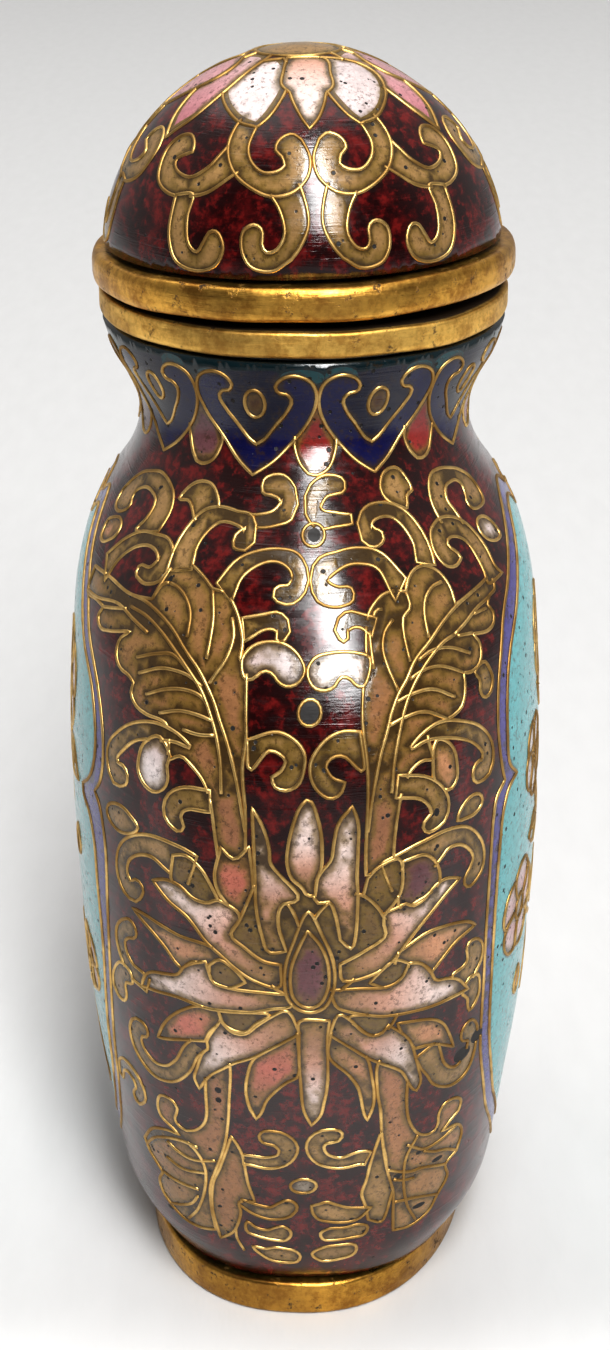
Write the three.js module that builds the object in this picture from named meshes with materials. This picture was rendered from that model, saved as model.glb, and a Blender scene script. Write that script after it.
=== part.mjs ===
import * as THREE from 'three';

// Flattened snuff bottle in cloisonne enamel, with a domed lid that lifts off.
// Millimetres, +Z up. X runs across the broad faces and Y through the thickness.
// The origin is the middle of the foot's underside, where the bottle stands.

// Foot ring: an oval band that sits a little turned and off centre.
const footHalfThickness = 10.3;
const footHalfWidth = 16.4;
const footHeight = 2.2;
const footWall = 1.7;
const footBevel = 0.3;
const footTurn = THREE.MathUtils.degToRad(-5);
const footShift = 0.3;
const footPower = 2.3;

// Bottle body: half sizes of its oval section at the four heights that set its shape.
const baseHalfThickness = 10.4;
const baseHalfWidth = 15.9;
const bellyHeight = 30;
const bellyHalfThickness = 14.15;
const bellyHalfWidth = 22;
const neckHeight = 54;
const neckHalfThickness = 9.65;
const neckHalfWidth = 10.9;
const lipHeight = 58.75;
const lipRadius = 11.6;
const bodyWall = 1.4;
const floorThickness = 1.6;
const bodyPower = 2.45;
const roundPower = 2;

// Gilt collar round the mouth.
const collarRadius = 11.75;
const collarHeight = 1.4;
const collarEdge = 0.35;
const mouthRadius = 8.4;

// Lid: a gilt rim with a short spigot that drops into the mouth, and an enamelled dome on it.
const rimRadius = 12.1;
const rimHeight = 1.9;
const rimBulge = 0.5;
const spigotDepth = 1.9;
const spigotWall = 1;
const spigotClearance = 0.4;
const domeRadius = 11.3;
const domeHeight = 10.55;
const domeWall = 1.2;
const domePower = 1.83;
const lidTilt = THREE.MathUtils.degToRad(1.2);

// Gaps: the dark joint lines between fixed pieces, and the lid's own seat.
const jointGap = 0.3;
const seatGap = 0.35;

// How finely the curved walls are divided.
const ovalSides = 56;
const roundSides = 48;
const outsideSteps = 24;
const insideSteps = 14;
const domeSteps = 10;
const edgeSteps = 2;

// The wall between two set heights: share of the way up, then share of the way from one
// half thickness to the next, then the same for the half width.
const swell = [[0.09, 0.41, 0.16], [0.2, 0.55, 0.31], [0.35, 0.69, 0.48], [0.53, 0.85, 0.68], [0.71, 0.93, 0.86]];
const shoulder = [[0.29, 0.02, 0.02], [0.46, 0.08, 0.11], [0.58, 0.14, 0.22], [0.69, 0.3, 0.37],
  [0.77, 0.53, 0.51], [0.85, 0.81, 0.69], [0.93, 0.98, 0.87]];
const flare = [[0.36, 0.31, 0.15], [0.67, 0.74, 0.5]];

const enamelRed = new THREE.MeshStandardMaterial({ color: 0x4a1216, roughness: 0.25, metalness: 0 });
const enamelTan = new THREE.MeshStandardMaterial({ color: 0x6b3f34, roughness: 0.28, metalness: 0 });
const gilt = { color: 0xb98a2e, roughness: 0.35, metalness: 1 };

const bodyBase = footHeight + jointGap;

// One height of the body: half thickness, half width and height as a point in space.
function landmark(halfThickness, halfWidth, height) {
  return new THREE.Vector3(halfThickness, halfWidth, height);
}

// The points of the wall between two heights, the second one included.
function wallBetween(low, high, shape) {
  const between = shape.map(([up, thin, wide]) => new THREE.Vector3(
    THREE.MathUtils.lerp(low.x, high.x, thin),
    THREE.MathUtils.lerp(low.y, high.y, wide),
    THREE.MathUtils.lerp(low.z, high.z, up),
  ));
  return [...between, high];
}

// The curve that carries the body's half thickness and half width up its height.
function bodyCurve() {
  const base = landmark(baseHalfThickness, baseHalfWidth, bodyBase);
  const belly = landmark(bellyHalfThickness, bellyHalfWidth, bellyHeight);
  const neck = landmark(neckHalfThickness, neckHalfWidth, neckHeight);
  const lip = landmark(lipRadius, lipRadius, lipHeight);
  return new THREE.CatmullRomCurve3([
    base,
    ...wallBetween(base, belly, swell),
    ...wallBetween(belly, neck, shoulder),
    ...wallBetween(neck, lip, flare),
  ], false, 'centripetal');
}

// A squared oval below, which turns into a circle where the shoulder runs up to the neck.
function sectionPower(height) {
  const rounding = THREE.MathUtils.smoothstep(height, (bellyHeight + neckHeight) / 2, neckHeight);
  return THREE.MathUtils.lerp(bodyPower, roundPower, rounding);
}

// One ring of the body's wall at a share of the curve, set in by a thickness across the wall.
function bodyRing(curve, share, inset) {
  const point = curve.getPoint(share);
  const slope = curve.getTangent(share);
  return {
    thin: point.x - inset * Math.hypot(1, slope.x / slope.z),
    wide: point.y - inset * Math.hypot(1, slope.y / slope.z),
    power: sectionPower(point.z),
    z: point.z,
  };
}

// Share of a half size that a squared oval reaches in a direction.
function ovalReach(direction, power) {
  return Math.sign(direction) * Math.abs(direction) ** (2 / power);
}

// A lathe whose every ring is then pressed from a circle into its own squared oval.
function ovalLathe(rings) {
  const outline = rings.map((ring) => new THREE.Vector2(ring.thin, ring.z));
  const geometry = new THREE.LatheGeometry(outline, ovalSides);
  const position = geometry.getAttribute('position');
  for (let index = 0; index < position.count; index += 1) {
    const ring = rings[index % rings.length];
    const side = Math.floor(index / rings.length) % ovalSides;
    const turn = (2 * Math.PI * side) / ovalSides;
    const x = ring.wide * ovalReach(Math.cos(turn), ring.power);
    const y = ring.thin * ovalReach(Math.sin(turn), ring.power);
    position.setXYZ(index, x, y, ring.z);
  }
  return geometry;
}

// A plain lathe round Z from a closed outline of radius and height.
function roundLathe(outline) {
  return new THREE.LatheGeometry(outline, roundSides).rotateX(Math.PI / 2);
}

// The hollow body: across the base, up the outside, over the lip and down the inside.
function bodyGeometry() {
  const curve = bodyCurve();
  const floor = bodyBase + floorThickness;
  const outside = [];
  for (let step = 0; step <= outsideSteps; step += 1) {
    outside.push(bodyRing(curve, step / outsideSteps, 0));
  }
  const inside = [];
  for (let step = insideSteps; step >= 0; step -= 1) {
    inside.push(bodyRing(curve, step / insideSteps, bodyWall));
  }
  const cavity = inside.filter((ring) => ring.z > floor + floorThickness / 2);
  const floorEdge = { ...cavity[cavity.length - 1], z: floor };
  const axis = { thin: 0, wide: 0, power: bodyPower };
  return ovalLathe([{ ...axis, z: bodyBase }, ...outside, ...cavity, floorEdge, { ...axis, z: floor }]);
}

// The foot: a closed band with bevelled edges, flat underneath.
function footGeometry() {
  const corners = [
    [footBevel, 0],
    [0, footBevel],
    [0, footHeight - footBevel],
    [footBevel, footHeight],
    [footWall, footHeight],
    [footWall, footBevel],
    [footWall - footBevel, 0],
    [footBevel, 0],
  ];
  return ovalLathe(corners.map(([inset, z]) => ({
    thin: footHalfThickness - inset,
    wide: footHalfWidth - inset,
    power: footPower,
    z,
  })));
}

// The collar: a flat ring with a rounded outer edge above and below.
function collarGeometry() {
  const outline = new THREE.Path();
  const edge = collarRadius - collarEdge;
  outline.moveTo(mouthRadius, 0);
  outline.lineTo(edge, 0);
  outline.absarc(edge, collarEdge, collarEdge, -Math.PI / 2, 0, false);
  outline.absarc(edge, collarHeight - collarEdge, collarEdge, 0, Math.PI / 2, false);
  outline.lineTo(mouthRadius, collarHeight);
  outline.closePath();
  return roundLathe(outline.getPoints(edgeSteps));
}

// The lid's rim: a ring with a bulging edge, and the spigot that hangs below its seat.
function rimGeometry() {
  const outline = new THREE.Path();
  const spigotRadius = mouthRadius - spigotClearance;
  const bore = spigotRadius - spigotWall;
  const edge = rimRadius - rimBulge;
  outline.moveTo(bore, -spigotDepth);
  outline.lineTo(spigotRadius, -spigotDepth);
  outline.lineTo(spigotRadius, 0);
  outline.lineTo(edge, 0);
  outline.absellipse(edge, rimHeight / 2, rimBulge, rimHeight / 2, -Math.PI / 2, Math.PI / 2, false);
  outline.lineTo(bore, rimHeight);
  outline.closePath();
  return roundLathe(outline.getPoints(edgeSteps + 1));
}

// A point of the dome's arch, from its base at share 0 to its crown at share 1.
function domePoint(radius, height, share) {
  const angle = (share * Math.PI) / 2;
  return new THREE.Vector2(
    radius * ovalReach(Math.cos(angle), domePower),
    height * ovalReach(Math.sin(angle), domePower),
  );
}

// The dome: a thin shell, open below.
function domeGeometry() {
  const outside = [];
  const inside = [];
  for (let step = 0; step < domeSteps; step += 1) {
    const share = step / domeSteps;
    outside.push(domePoint(domeRadius, domeHeight, share));
    inside.unshift(domePoint(domeRadius - domeWall, domeHeight - domeWall, share));
  }
  const crownInside = new THREE.Vector2(0, domeHeight - domeWall);
  const crownOutside = new THREE.Vector2(0, domeHeight);
  return roundLathe([crownInside, ...inside, ...outside, crownOutside]);
}

// A named mesh at a height.
function piece(name, geometry, material, height) {
  const mesh = new THREE.Mesh(geometry, material);
  mesh.name = name;
  mesh.position.z = height;
  return mesh;
}

// The lid, tilted about the point of its rim that rests lowest on the collar.
function lid() {
  const group = new THREE.Group();
  group.add(piece('lid_rim', rimGeometry(), new THREE.MeshStandardMaterial(gilt), 0));
  group.add(piece('lid_dome', domeGeometry(), enamelTan, rimHeight + jointGap));
  group.rotation.x = lidTilt;
  const collarTop = lipHeight + jointGap + collarHeight;
  group.position.z = collarTop + seatGap + (rimRadius - rimBulge) * Math.sin(lidTilt);
  return group;
}

function bottle() {
  const group = new THREE.Group();
  const foot = piece('foot_ring', footGeometry(), new THREE.MeshStandardMaterial(gilt), 0);
  foot.rotation.z = footTurn;
  foot.position.y = footShift;
  group.add(foot);
  group.add(piece('bottle_body', bodyGeometry(), enamelRed, 0));
  group.add(piece('neck_collar', collarGeometry(), new THREE.MeshStandardMaterial(gilt), lipHeight + jointGap));
  group.add(lid());
  return group;
}

export default bottle();
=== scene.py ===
"""A flattened cloisonne snuff bottle with a domed lid, dressed round its CAD frame.

The enamel pictures are drawn flat, in millimetres, as cells edged with wire. Each drawing is
cut into a fine skin that carries one enamel per cell, laid on the bottle's wall or the lid's
dome, and its wires become thin gilt tubes set into the enamel.
"""
import logging
import math
from dataclasses import dataclass, field
from enum import Enum, IntEnum
from typing import Callable, Iterable, Optional, Protocol, Sequence

import bmesh
import bpy
import numpy as np
from mathutils import Matrix, Vector, kdtree
from mathutils.geometry import delaunay_2d_cdt


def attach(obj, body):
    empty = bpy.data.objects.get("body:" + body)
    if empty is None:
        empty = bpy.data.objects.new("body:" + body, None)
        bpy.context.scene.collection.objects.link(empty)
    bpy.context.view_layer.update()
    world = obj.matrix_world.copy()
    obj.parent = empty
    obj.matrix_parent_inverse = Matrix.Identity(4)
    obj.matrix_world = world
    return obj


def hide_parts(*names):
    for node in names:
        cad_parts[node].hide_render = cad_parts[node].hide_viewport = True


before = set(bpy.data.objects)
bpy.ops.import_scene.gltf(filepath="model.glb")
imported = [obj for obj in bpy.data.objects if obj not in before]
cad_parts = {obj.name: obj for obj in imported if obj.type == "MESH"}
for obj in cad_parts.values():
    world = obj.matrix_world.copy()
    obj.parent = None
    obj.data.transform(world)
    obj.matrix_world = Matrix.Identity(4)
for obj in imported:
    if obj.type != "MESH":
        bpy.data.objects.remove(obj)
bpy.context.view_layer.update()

logging.basicConfig(level=logging.INFO, format="%(message)s")
log = logging.getLogger("snuff_bottle")

MM = 0.001
TAU = 2 * math.pi
SEED = 41
WELD = 2e-6           # metres within which points are merged
JOINT = 0.3           # millimetres between two pieces that are fixed together
LID_GAP = 0.35        # millimetres between the collar and the resting lid
WIRE_RADIUS = 0.12    # millimetres
WIRE_SINK = 0.035     # millimetres from the enamel's face down to a wire's middle
Point = tuple[float, float]
Knot = tuple[float, float, float]
Line = tuple[np.ndarray, bool]    # a path, and whether it is a closed loop


class Tone(Enum):
    """An enamel's linear colour: one all over, or one each at a shaded cell's root, middle and tip."""

    GROUND = ((0.060, 0.006, 0.007),)
    TAN = ((0.335, 0.200, 0.078),)
    SAND = ((0.360, 0.235, 0.120),)
    LEAF = ((0.330, 0.150, 0.075), (0.340, 0.165, 0.072), (0.320, 0.175, 0.062))
    PETAL = ((0.300, 0.165, 0.070), (0.560, 0.300, 0.210), (0.760, 0.610, 0.560))
    WHITE = ((0.640, 0.480, 0.440), (0.740, 0.620, 0.600), (0.780, 0.690, 0.670))
    PEACH = ((0.300, 0.170, 0.070), (0.520, 0.250, 0.130), (0.480, 0.270, 0.140))
    CORAL = ((0.330, 0.170, 0.080), (0.560, 0.170, 0.120), (0.360, 0.190, 0.090))
    MAUVE = ((0.150, 0.060, 0.066),)
    OLIVE = ((0.170, 0.100, 0.034),)
    BAND = ((0.082, 0.068, 0.250),)
    NAVY = ((0.006, 0.006, 0.050),)
    TEAL = ((0.004, 0.015, 0.019),)
    LAGOON = ((0.008, 0.065, 0.075),)
    BRONZE = ((0.070, 0.028, 0.010),)
    RUBY = ((0.260, 0.026, 0.022),)
    TURQUOISE = ((0.120, 0.440, 0.460),)
    PINK = ((0.560, 0.200, 0.230), (0.640, 0.330, 0.340), (0.720, 0.520, 0.500))
    GREEN = ((0.060, 0.190, 0.090), (0.080, 0.230, 0.110), (0.110, 0.270, 0.120))
    INK = ((0.0035, 0.0040, 0.022),)
    PIT = ((0.006, 0.004, 0.004),)
    MIST = ((0.330, 0.290, 0.260),)


class Coat(IntEnum):
    """The enamels of a piece, in the order of its material slots."""

    CELL = 0
    GROUND = 1
    COUNTER = 2


# Flat drawing


def curve_through(points: Sequence[Sequence[float]], closed: bool, step: float) -> np.ndarray:
    """Run a centripetal Catmull-Rom curve through points and space it evenly.

    Args:
        points: The points, each with as many values as wanted.
        closed: Whether the curve returns to its first point.
        step: The wanted distance between the points returned.

    Returns:
        One row a point. A closed curve doesn't repeat its first point.
    """
    knots = np.asarray(points, float)
    if closed:
        knots = np.vstack([knots[-1:], knots, knots[:2]])
    else:
        knots = np.vstack([2 * knots[:1] - knots[1:2], knots, 2 * knots[-1:] - knots[-2:-1]])
    parts = []
    for p0, p1, p2, p3 in zip(knots, knots[1:], knots[2:], knots[3:]):
        t0, t1, t2 = (max(math.dist(a[:2], b[:2]), 1e-6) ** 0.5 for a, b in ((p0, p1), (p1, p2), (p2, p3)))
        slope1 = ((p1 - p0) / t0 - (p2 - p0) / (t0 + t1) + (p2 - p1) / t1) * t1
        slope2 = ((p2 - p1) / t1 - (p3 - p1) / (t1 + t2) + (p3 - p2) / t2) * t1
        t = np.linspace(0, 1, 12, endpoint=False)[:, None]
        parts.append(p1 + slope1 * t + (3 * (p2 - p1) - 2 * slope1 - slope2) * t ** 2
                     + (2 * (p1 - p2) + slope1 + slope2) * t ** 3)
    fine = np.vstack(parts + [knots[-2:-1]])
    run = np.concatenate([[0], np.cumsum(np.hypot(*np.diff(fine[:, :2], axis=0).T))])
    count = max(int(round(run[-1] / step)), 3 if closed else 1)
    marks = np.linspace(0, run[-1], count + 1)
    even = np.stack([np.interp(marks, run, fine[:, k]) for k in range(fine.shape[1])], axis=1)
    return even[:-1] if closed else even


def inside(points: np.ndarray, outline: np.ndarray) -> np.ndarray:
    """Tell which points lie inside a closed outline.

    Args:
        points: The points to test, one row each.
        outline: The outline's corners, one row each.

    Returns:
        One true or false value a point.
    """
    found = np.zeros(len(points), bool)
    low, high = outline.min(0), outline.max(0)
    near = np.flatnonzero(((points > low) & (points < high)).all(1))
    if not len(near):
        return found
    x, y = points[near, :1], points[near, 1:]
    ax, ay = outline.T
    bx, by = np.roll(outline, -1, axis=0).T
    spans = (ay > y) != (by > y)
    rise = np.where(by == ay, 1e-12, by - ay)
    found[near] = (spans & (x < ax + (y - ay) * (bx - ax) / rise)).sum(1) % 2 == 1
    return found


@dataclass
class Cell:
    """One enamel cell of a drawing.

    Attributes:
        outline: The cell's edge.
        tone: Its enamel.
        root: Where the colour starts from, for a shaded cell.
        tip: Where the colour runs to.
        shade: How light this cell's batch of enamel came out.
        wired: Whether a wire edges it.
    """

    outline: np.ndarray
    tone: Tone
    root: Optional[Point] = None
    tip: Optional[Point] = None
    shade: float = 1.0
    wired: bool = True

    def colours(self, points: np.ndarray) -> np.ndarray:
        """Give the cell's colour at each point.

        Args:
            points: Points of the drawing, one row each.

        Returns:
            A linear colour a point.
        """
        stops = np.array(self.tone.value)
        if self.root is None:
            return np.broadcast_to(stops[len(stops) // 2] * self.shade, (len(points), 3))
        root, tip = np.array(self.root), np.array(self.tip)
        share = ((points - root) @ (tip - root)) / ((tip - root) @ (tip - root))
        share = np.clip(share, 0, 1)
        return np.stack([np.interp(share, [0, 0.5, 1], stops[:, k]) for k in range(3)], axis=1) * self.shade


@dataclass
class Drawing:
    """A flat cloisonne drawing: cells laid one over another, and loose wires.

    Attributes:
        step: Distance between points along a wire.
        period: Width after which the drawing repeats, or zero.
        cells: The cells laid so far, later ones on top.
        wires: The loose wires, each with how many cells lay under it.
        place: Moves points of the drawing to where they belong on the object.
        rng: Gives each cell its own small difference in lightness.
    """

    step: float = 0.28
    period: float = 0.0
    cells: list[Cell] = field(default_factory=list)
    wires: list[tuple[int, np.ndarray]] = field(default_factory=list)
    place: Callable[[np.ndarray], np.ndarray] = np.asarray
    rng: np.random.Generator = field(default_factory=lambda: np.random.default_rng(SEED))

    def add(self, outline: np.ndarray, tone: Tone, root: Optional[Point] = None, tip: Optional[Point] = None,
            wired: bool = True, shade: Optional[float] = None) -> None:
        """Lay a cell over those drawn so far, and its repeats beside it.

        Args:
            outline: The cell's edge, before it is placed.
            tone: Its enamel.
            root: Where its shading starts, if it is shaded.
            tip: Where its shading ends.
            wired: Whether a wire edges it.
            shade: Its lightness, or none for a small random one.
        """
        placed = self.place(outline)
        if root is not None:
            root, tip = (tuple(self.place(np.array([end]))[0]) for end in (root, tip))
        if shade is None:
            shade = float(self.rng.uniform(0.9, 1.1))
        for turn in (-1, 0, 1) if self.period else (0,):
            move = np.array([turn * self.period, 0.0])
            ends = (None, None) if root is None else (tuple(root + move), tuple(tip + move))
            self.cells.append(Cell(placed + move, tone, *ends, shade, wired))

    def loop(self, tone: Tone, points: Sequence[Point], **finish) -> None:
        """Draw a cell whose edge is one smooth loop, finished as add says."""
        self.add(curve_through(points, True, self.step), tone, **finish)

    def cell(self, tone: Tone, *strokes: Sequence[Point], **finish) -> None:
        """Draw a cell from smooth strokes that meet at corners.

        Args:
            tone: Its enamel.
            *strokes: Each stroke's points. A stroke starts where the one before ends.
            **finish: Passed on to add.
        """
        parts = []
        for index, stroke in enumerate(strokes):
            start = [strokes[index - 1][-1]] if index else []
            stop = [strokes[0][0]] if index == len(strokes) - 1 else []
            parts.append(curve_through(start + list(stroke) + stop, False, self.step)[:-1])
        self.add(np.vstack(parts), tone, **finish)

    def ribbon(self, tone: Tone, knots: Sequence[Knot], **finish) -> None:
        """Draw a scroll: a band along a curve, round at its far end.

        Args:
            tone: Its enamel.
            knots: The middle line, each point with the band's width there.
            **finish: Passed on to add.
        """
        line = curve_through(knots, False, self.step)
        run = np.gradient(line[:, :2], axis=0)
        side = np.stack([-run[:, 1], run[:, 0]], 1) / np.hypot(*run.T)[:, None]
        reach = line[:, 2:] / 2
        left, right = (self.edge_beside(line[:, :2], side * reach * way) for way in (1, -1))
        end, radius = line[-1, :2], float(reach[-1, 0])
        ahead = np.array([side[-1, 1], -side[-1, 0]])
        turns = np.linspace(0, math.pi, max(int(math.pi * radius / self.step), 3) + 1)[1:-1, None]
        cap = end + radius * (np.cos(turns) * side[-1] + np.sin(turns) * ahead)
        self.add(np.vstack([left, cap, right[::-1]]), tone, **finish)

    def curl(self, *knots: Knot) -> None:
        """Draw a tan scroll."""
        self.ribbon(Tone.TAN, knots)

    def bean(self, *points: Point) -> None:
        """Draw a tan cell whose edge is one smooth loop."""
        self.loop(Tone.TAN, points)

    @staticmethod
    def edge_beside(line: np.ndarray, offset: np.ndarray) -> np.ndarray:
        """Set a line aside, without the points that fold back inside a tight curl.

        Args:
            line: The middle line.
            offset: How far each point moves.

        Returns:
            The points of the band's edge.
        """
        edge = line + offset
        onward = (np.gradient(edge, axis=0) * np.gradient(line, axis=0)).sum(1) > 0
        onward[[0, -1]] = True
        return edge[onward]

    def ring(self, tone: Tone, middle: Point, half: Point, **finish) -> None:
        """Draw a small oval cell.

        Args:
            tone: Its enamel.
            middle: Its middle.
            half: Its half width and half height.
            **finish: Passed on to add.
        """
        count = max(int(TAU * max(half) / self.step), 10)
        turns = np.arange(count) / count * TAU
        oval = np.array(middle) + np.stack([half[0] * np.cos(turns), half[1] * np.sin(turns)], 1)
        self.add(oval, tone, **finish)

    def wire(self, *lines: Sequence[Point]) -> None:
        """Lay loose wires through these points, over the cells drawn so far."""
        for line in lines:
            path = self.place(curve_through(line, False, self.step))
            for turn in (-1, 0, 1) if self.period else (0,):
                self.wires.append((len(self.cells), path + np.array([turn * self.period, 0.0])))

    def visible_wires(self) -> list[Line]:
        """Cut every wire where a later cell covers it.

        Returns:
            Each stretch that shows, and whether it is a closed loop.
        """
        lines = [(k + 1, cell.outline, True) for k, cell in enumerate(self.cells) if cell.wired]
        lines += [(order, path, False) for order, path in self.wires]
        shown = []
        for order, path, closed in lines:
            bare = np.ones(len(path), bool)
            for cell in self.cells[order:]:
                bare &= ~inside(path, cell.outline)
            shown += stretches(path, closed, bare)
        return shown


def stretches(path: np.ndarray, closed: bool, keep: np.ndarray) -> list[Line]:
    """Split a path into the stretches that are kept, each one point longer at either end.

    Args:
        path: The path.
        closed: Whether it is a loop.
        keep: Which of its points are kept.

    Returns:
        Each stretch, and whether it is still a whole loop.
    """
    if keep.all():
        return [(path, closed)]
    if closed:
        turn = int(np.flatnonzero(~keep)[0])
        path, keep = np.roll(path, -turn, axis=0), np.roll(keep, -turn)
        path, keep = np.vstack([path, path[:1]]), np.append(keep, keep[0])
    ends = np.flatnonzero(np.diff(np.concatenate([[0], keep.astype(int), [0]])))
    return [(path[max(start - 1, 0):stop + 1], False) for start, stop in zip(ends[::2], ends[1::2])
            if stop - start > 1]


# Surfaces that a drawing is laid on


class Surface(Protocol):
    """A surface that carries a flat drawing."""

    def points(self, flat: np.ndarray, lift: float = 0.0) -> np.ndarray:
        """Lay flat points on the surface, lifted off it, in millimetres."""


def lifted(at: Callable[[np.ndarray], np.ndarray], flat: np.ndarray, lift: float) -> np.ndarray:
    """Lay flat points on a surface and move them out along its normal.

    Args:
        at: Gives the surface's point for each flat point.
        flat: The flat points.
        lift: Distance off the surface, in millimetres.

    Returns:
        One point in space a row, in millimetres.
    """
    spot = at(flat)
    if not lift:
        return spot
    nudge = 0.02
    across = at(flat + [nudge, 0]) - at(flat - [nudge, 0])
    along = at(flat + [0, nudge]) - at(flat - [0, nudge])
    normal = np.cross(across, along)
    length = np.linalg.norm(normal, axis=1, keepdims=True)
    return spot + lift * normal / np.where(length < 1e-12, 1, length)


@dataclass
class OvalWall:
    """The bottle's wall: an oval that swells and narrows up its height, in millimetres.

    A flat point is a distance round the wall and a height. Distance is counted from the middle
    of the narrow face, and a quarter of the way round is always the same number.
    """

    quarter: float = 28.5
    body_power: float = 2.45
    base: Knot = (10.4, 15.9, 2.5)
    belly: Knot = (14.15, 22.0, 30.0)
    neck: Knot = (9.65, 10.9, 54.0)
    lip: Knot = (11.6, 11.6, 58.75)
    wall: float = 1.4
    swell: tuple[Knot, ...] = ((0.09, 0.41, 0.16), (0.2, 0.55, 0.31), (0.35, 0.69, 0.48), (0.53, 0.85, 0.68),
                               (0.71, 0.93, 0.86))
    shoulder: tuple[Knot, ...] = ((0.29, 0.02, 0.02), (0.46, 0.08, 0.11), (0.58, 0.14, 0.22),
                                  (0.69, 0.3, 0.37), (0.77, 0.53, 0.51), (0.85, 0.81, 0.69),
                                  (0.93, 0.98, 0.87))
    flare: tuple[Knot, ...] = ((0.36, 0.31, 0.15), (0.67, 0.74, 0.5))

    def __post_init__(self) -> None:
        """Work out the wall's outline, and tables of its ovals inside and out."""
        knots = [np.array(self.base)]
        for low, high, shape in ((self.base, self.belly, self.swell), (self.belly, self.neck, self.shoulder),
                                 (self.neck, self.lip, self.flare)):
            low, high = np.array(low), np.array(high)
            knots += [low + (high - low) * np.array([thin, wide, up]) for up, thin, wide in shape] + [high]
        line = curve_through([(k[0], k[2], k[1]) for k in knots], False, 0.05)
        self.heights = np.linspace(self.base[2], self.lip[2], 420)
        thin = np.interp(self.heights, line[:, 1], line[:, 0])
        wide = np.interp(self.heights, line[:, 1], line[:, 2])
        self.outside = self.table(thin, wide)
        slopes = [self.wall * np.hypot(1, np.gradient(half, self.heights)) for half in (thin, wide)]
        self.inside = self.table(thin - slopes[0], wide - slopes[1])

    def power(self, height: np.ndarray) -> np.ndarray:
        """How square the oval is at each height: 2 is round."""
        middle = (self.belly[2] + self.neck[2]) / 2
        share = np.clip((height - middle) / (self.neck[2] - middle), 0, 1)
        return self.body_power + (2 - self.body_power) * share * share * (3 - 2 * share)

    def table(self, thin: np.ndarray, wide: np.ndarray) -> np.ndarray:
        """Points of a quarter of the oval at each height, evenly spaced.

        Args:
            thin: Half thickness at each height.
            wide: Half width at each height.

        Returns:
            An array of heights by quarter points by two.
        """
        turn = np.linspace(0, math.pi / 2, 400)
        even = np.linspace(0, 1, 181)
        rows = []
        for a, b, n in zip(wide, thin, self.power(self.heights)):
            x, y = a * np.cos(turn) ** (2 / n), b * np.sin(turn) ** (2 / n)
            run = np.concatenate([[0], np.cumsum(np.hypot(np.diff(x), np.diff(y)))])
            rows.append(np.stack([np.interp(even * run[-1], run, x), np.interp(even * run[-1], run, y)], 1))
        return np.array(rows)

    def at(self, flat: np.ndarray, inner: bool = False) -> np.ndarray:
        """Give the wall's point for each flat point.

        Args:
            flat: Distance round the wall and height, one row a point.
            inner: Whether the inside of the wall is meant.

        Returns:
            One point in space a row.
        """
        table = self.inside if inner else self.outside
        turn = (flat[:, 0] / self.quarter + 2) % 4 - 2
        side, turn = np.sign(turn), np.abs(turn)
        far = np.where(turn > 1, -1.0, 1.0)
        turn = np.where(turn > 1, 2 - turn, turn)
        span = self.heights[-1] - self.heights[0]
        row = np.clip((flat[:, 1] - self.heights[0]) / span, 0, 1) * (len(table) - 1.001)
        column = np.clip(turn, 0, 1) * (table.shape[1] - 1.001)
        r, c = row.astype(int), column.astype(int)
        fr, fc = (row - r)[:, None], (column - c)[:, None]
        spot = ((table[r, c] * (1 - fc) + table[r, c + 1] * fc) * (1 - fr)
                + (table[r + 1, c] * (1 - fc) + table[r + 1, c + 1] * fc) * fr)
        return np.stack([spot[:, 0] * far, spot[:, 1] * side, flat[:, 1]], 1)

    def points(self, flat: np.ndarray, lift: float = 0.0) -> np.ndarray:
        """Lay flat points on the outside of the wall."""
        return lifted(self.at, flat, lift)


@dataclass
class DomeShell:
    """The lid's dome in millimetres, its drawing a disc with the crown at the middle.

    A flat point's distance from the middle is its way down the dome. On the disc, minus Y
    points to the narrow face that the photograph shows, and X to the right of it.
    """

    radius: float = 11.3
    height: float = 10.55
    power: float = 1.83
    wall: float = 1.2
    foot: float = 0.0
    tilt: float = math.radians(1.2)
    seat: float = 0.0

    def __post_init__(self) -> None:
        """Work out the arch, with its way down from the crown."""
        turn = np.linspace(math.pi / 2, 0, 500)
        self.reach = self.radius * np.cos(turn) ** (2 / self.power)
        self.rise = self.height * np.sin(turn) ** (2 / self.power)
        steps = np.hypot(np.diff(self.reach), np.diff(self.rise))
        self.way = np.concatenate([[0], np.cumsum(steps)])

    @property
    def edge(self) -> float:
        """The way from the crown to the dome's lower edge."""
        return float(self.way[-1])

    def tilted(self, spots: np.ndarray) -> np.ndarray:
        """Stand points of the lid on its seat, with the lid's tilt."""
        turn = np.array(Matrix.Rotation(self.tilt, 3, "X"))
        return spots @ turn.T + [0, 0, self.seat]

    def at(self, flat: np.ndarray) -> np.ndarray:
        """Give the dome's point for each flat point, upright."""
        far = np.hypot(*flat.T)
        reach = np.interp(far, self.way, self.reach) / np.where(far < 1e-9, 1, far)
        rise = np.interp(far, self.way, self.rise)
        return np.stack([-flat[:, 1] * reach, flat[:, 0] * reach, self.foot + rise], 1)

    def points(self, flat: np.ndarray, lift: float = 0.0) -> np.ndarray:
        """Lay flat points on the dome, tilted with the lid."""
        return self.tilted(lifted(self.at, flat, lift))


# Skins and wires


def point_tree(points: np.ndarray) -> kdtree.KDTree:
    """Sort flat points so that the nearest one is quickly found."""
    tree = kdtree.KDTree(len(points))
    for index, (x, y) in enumerate(points):
        tree.insert((x, y, 0), index)
    tree.balance()
    return tree


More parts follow.
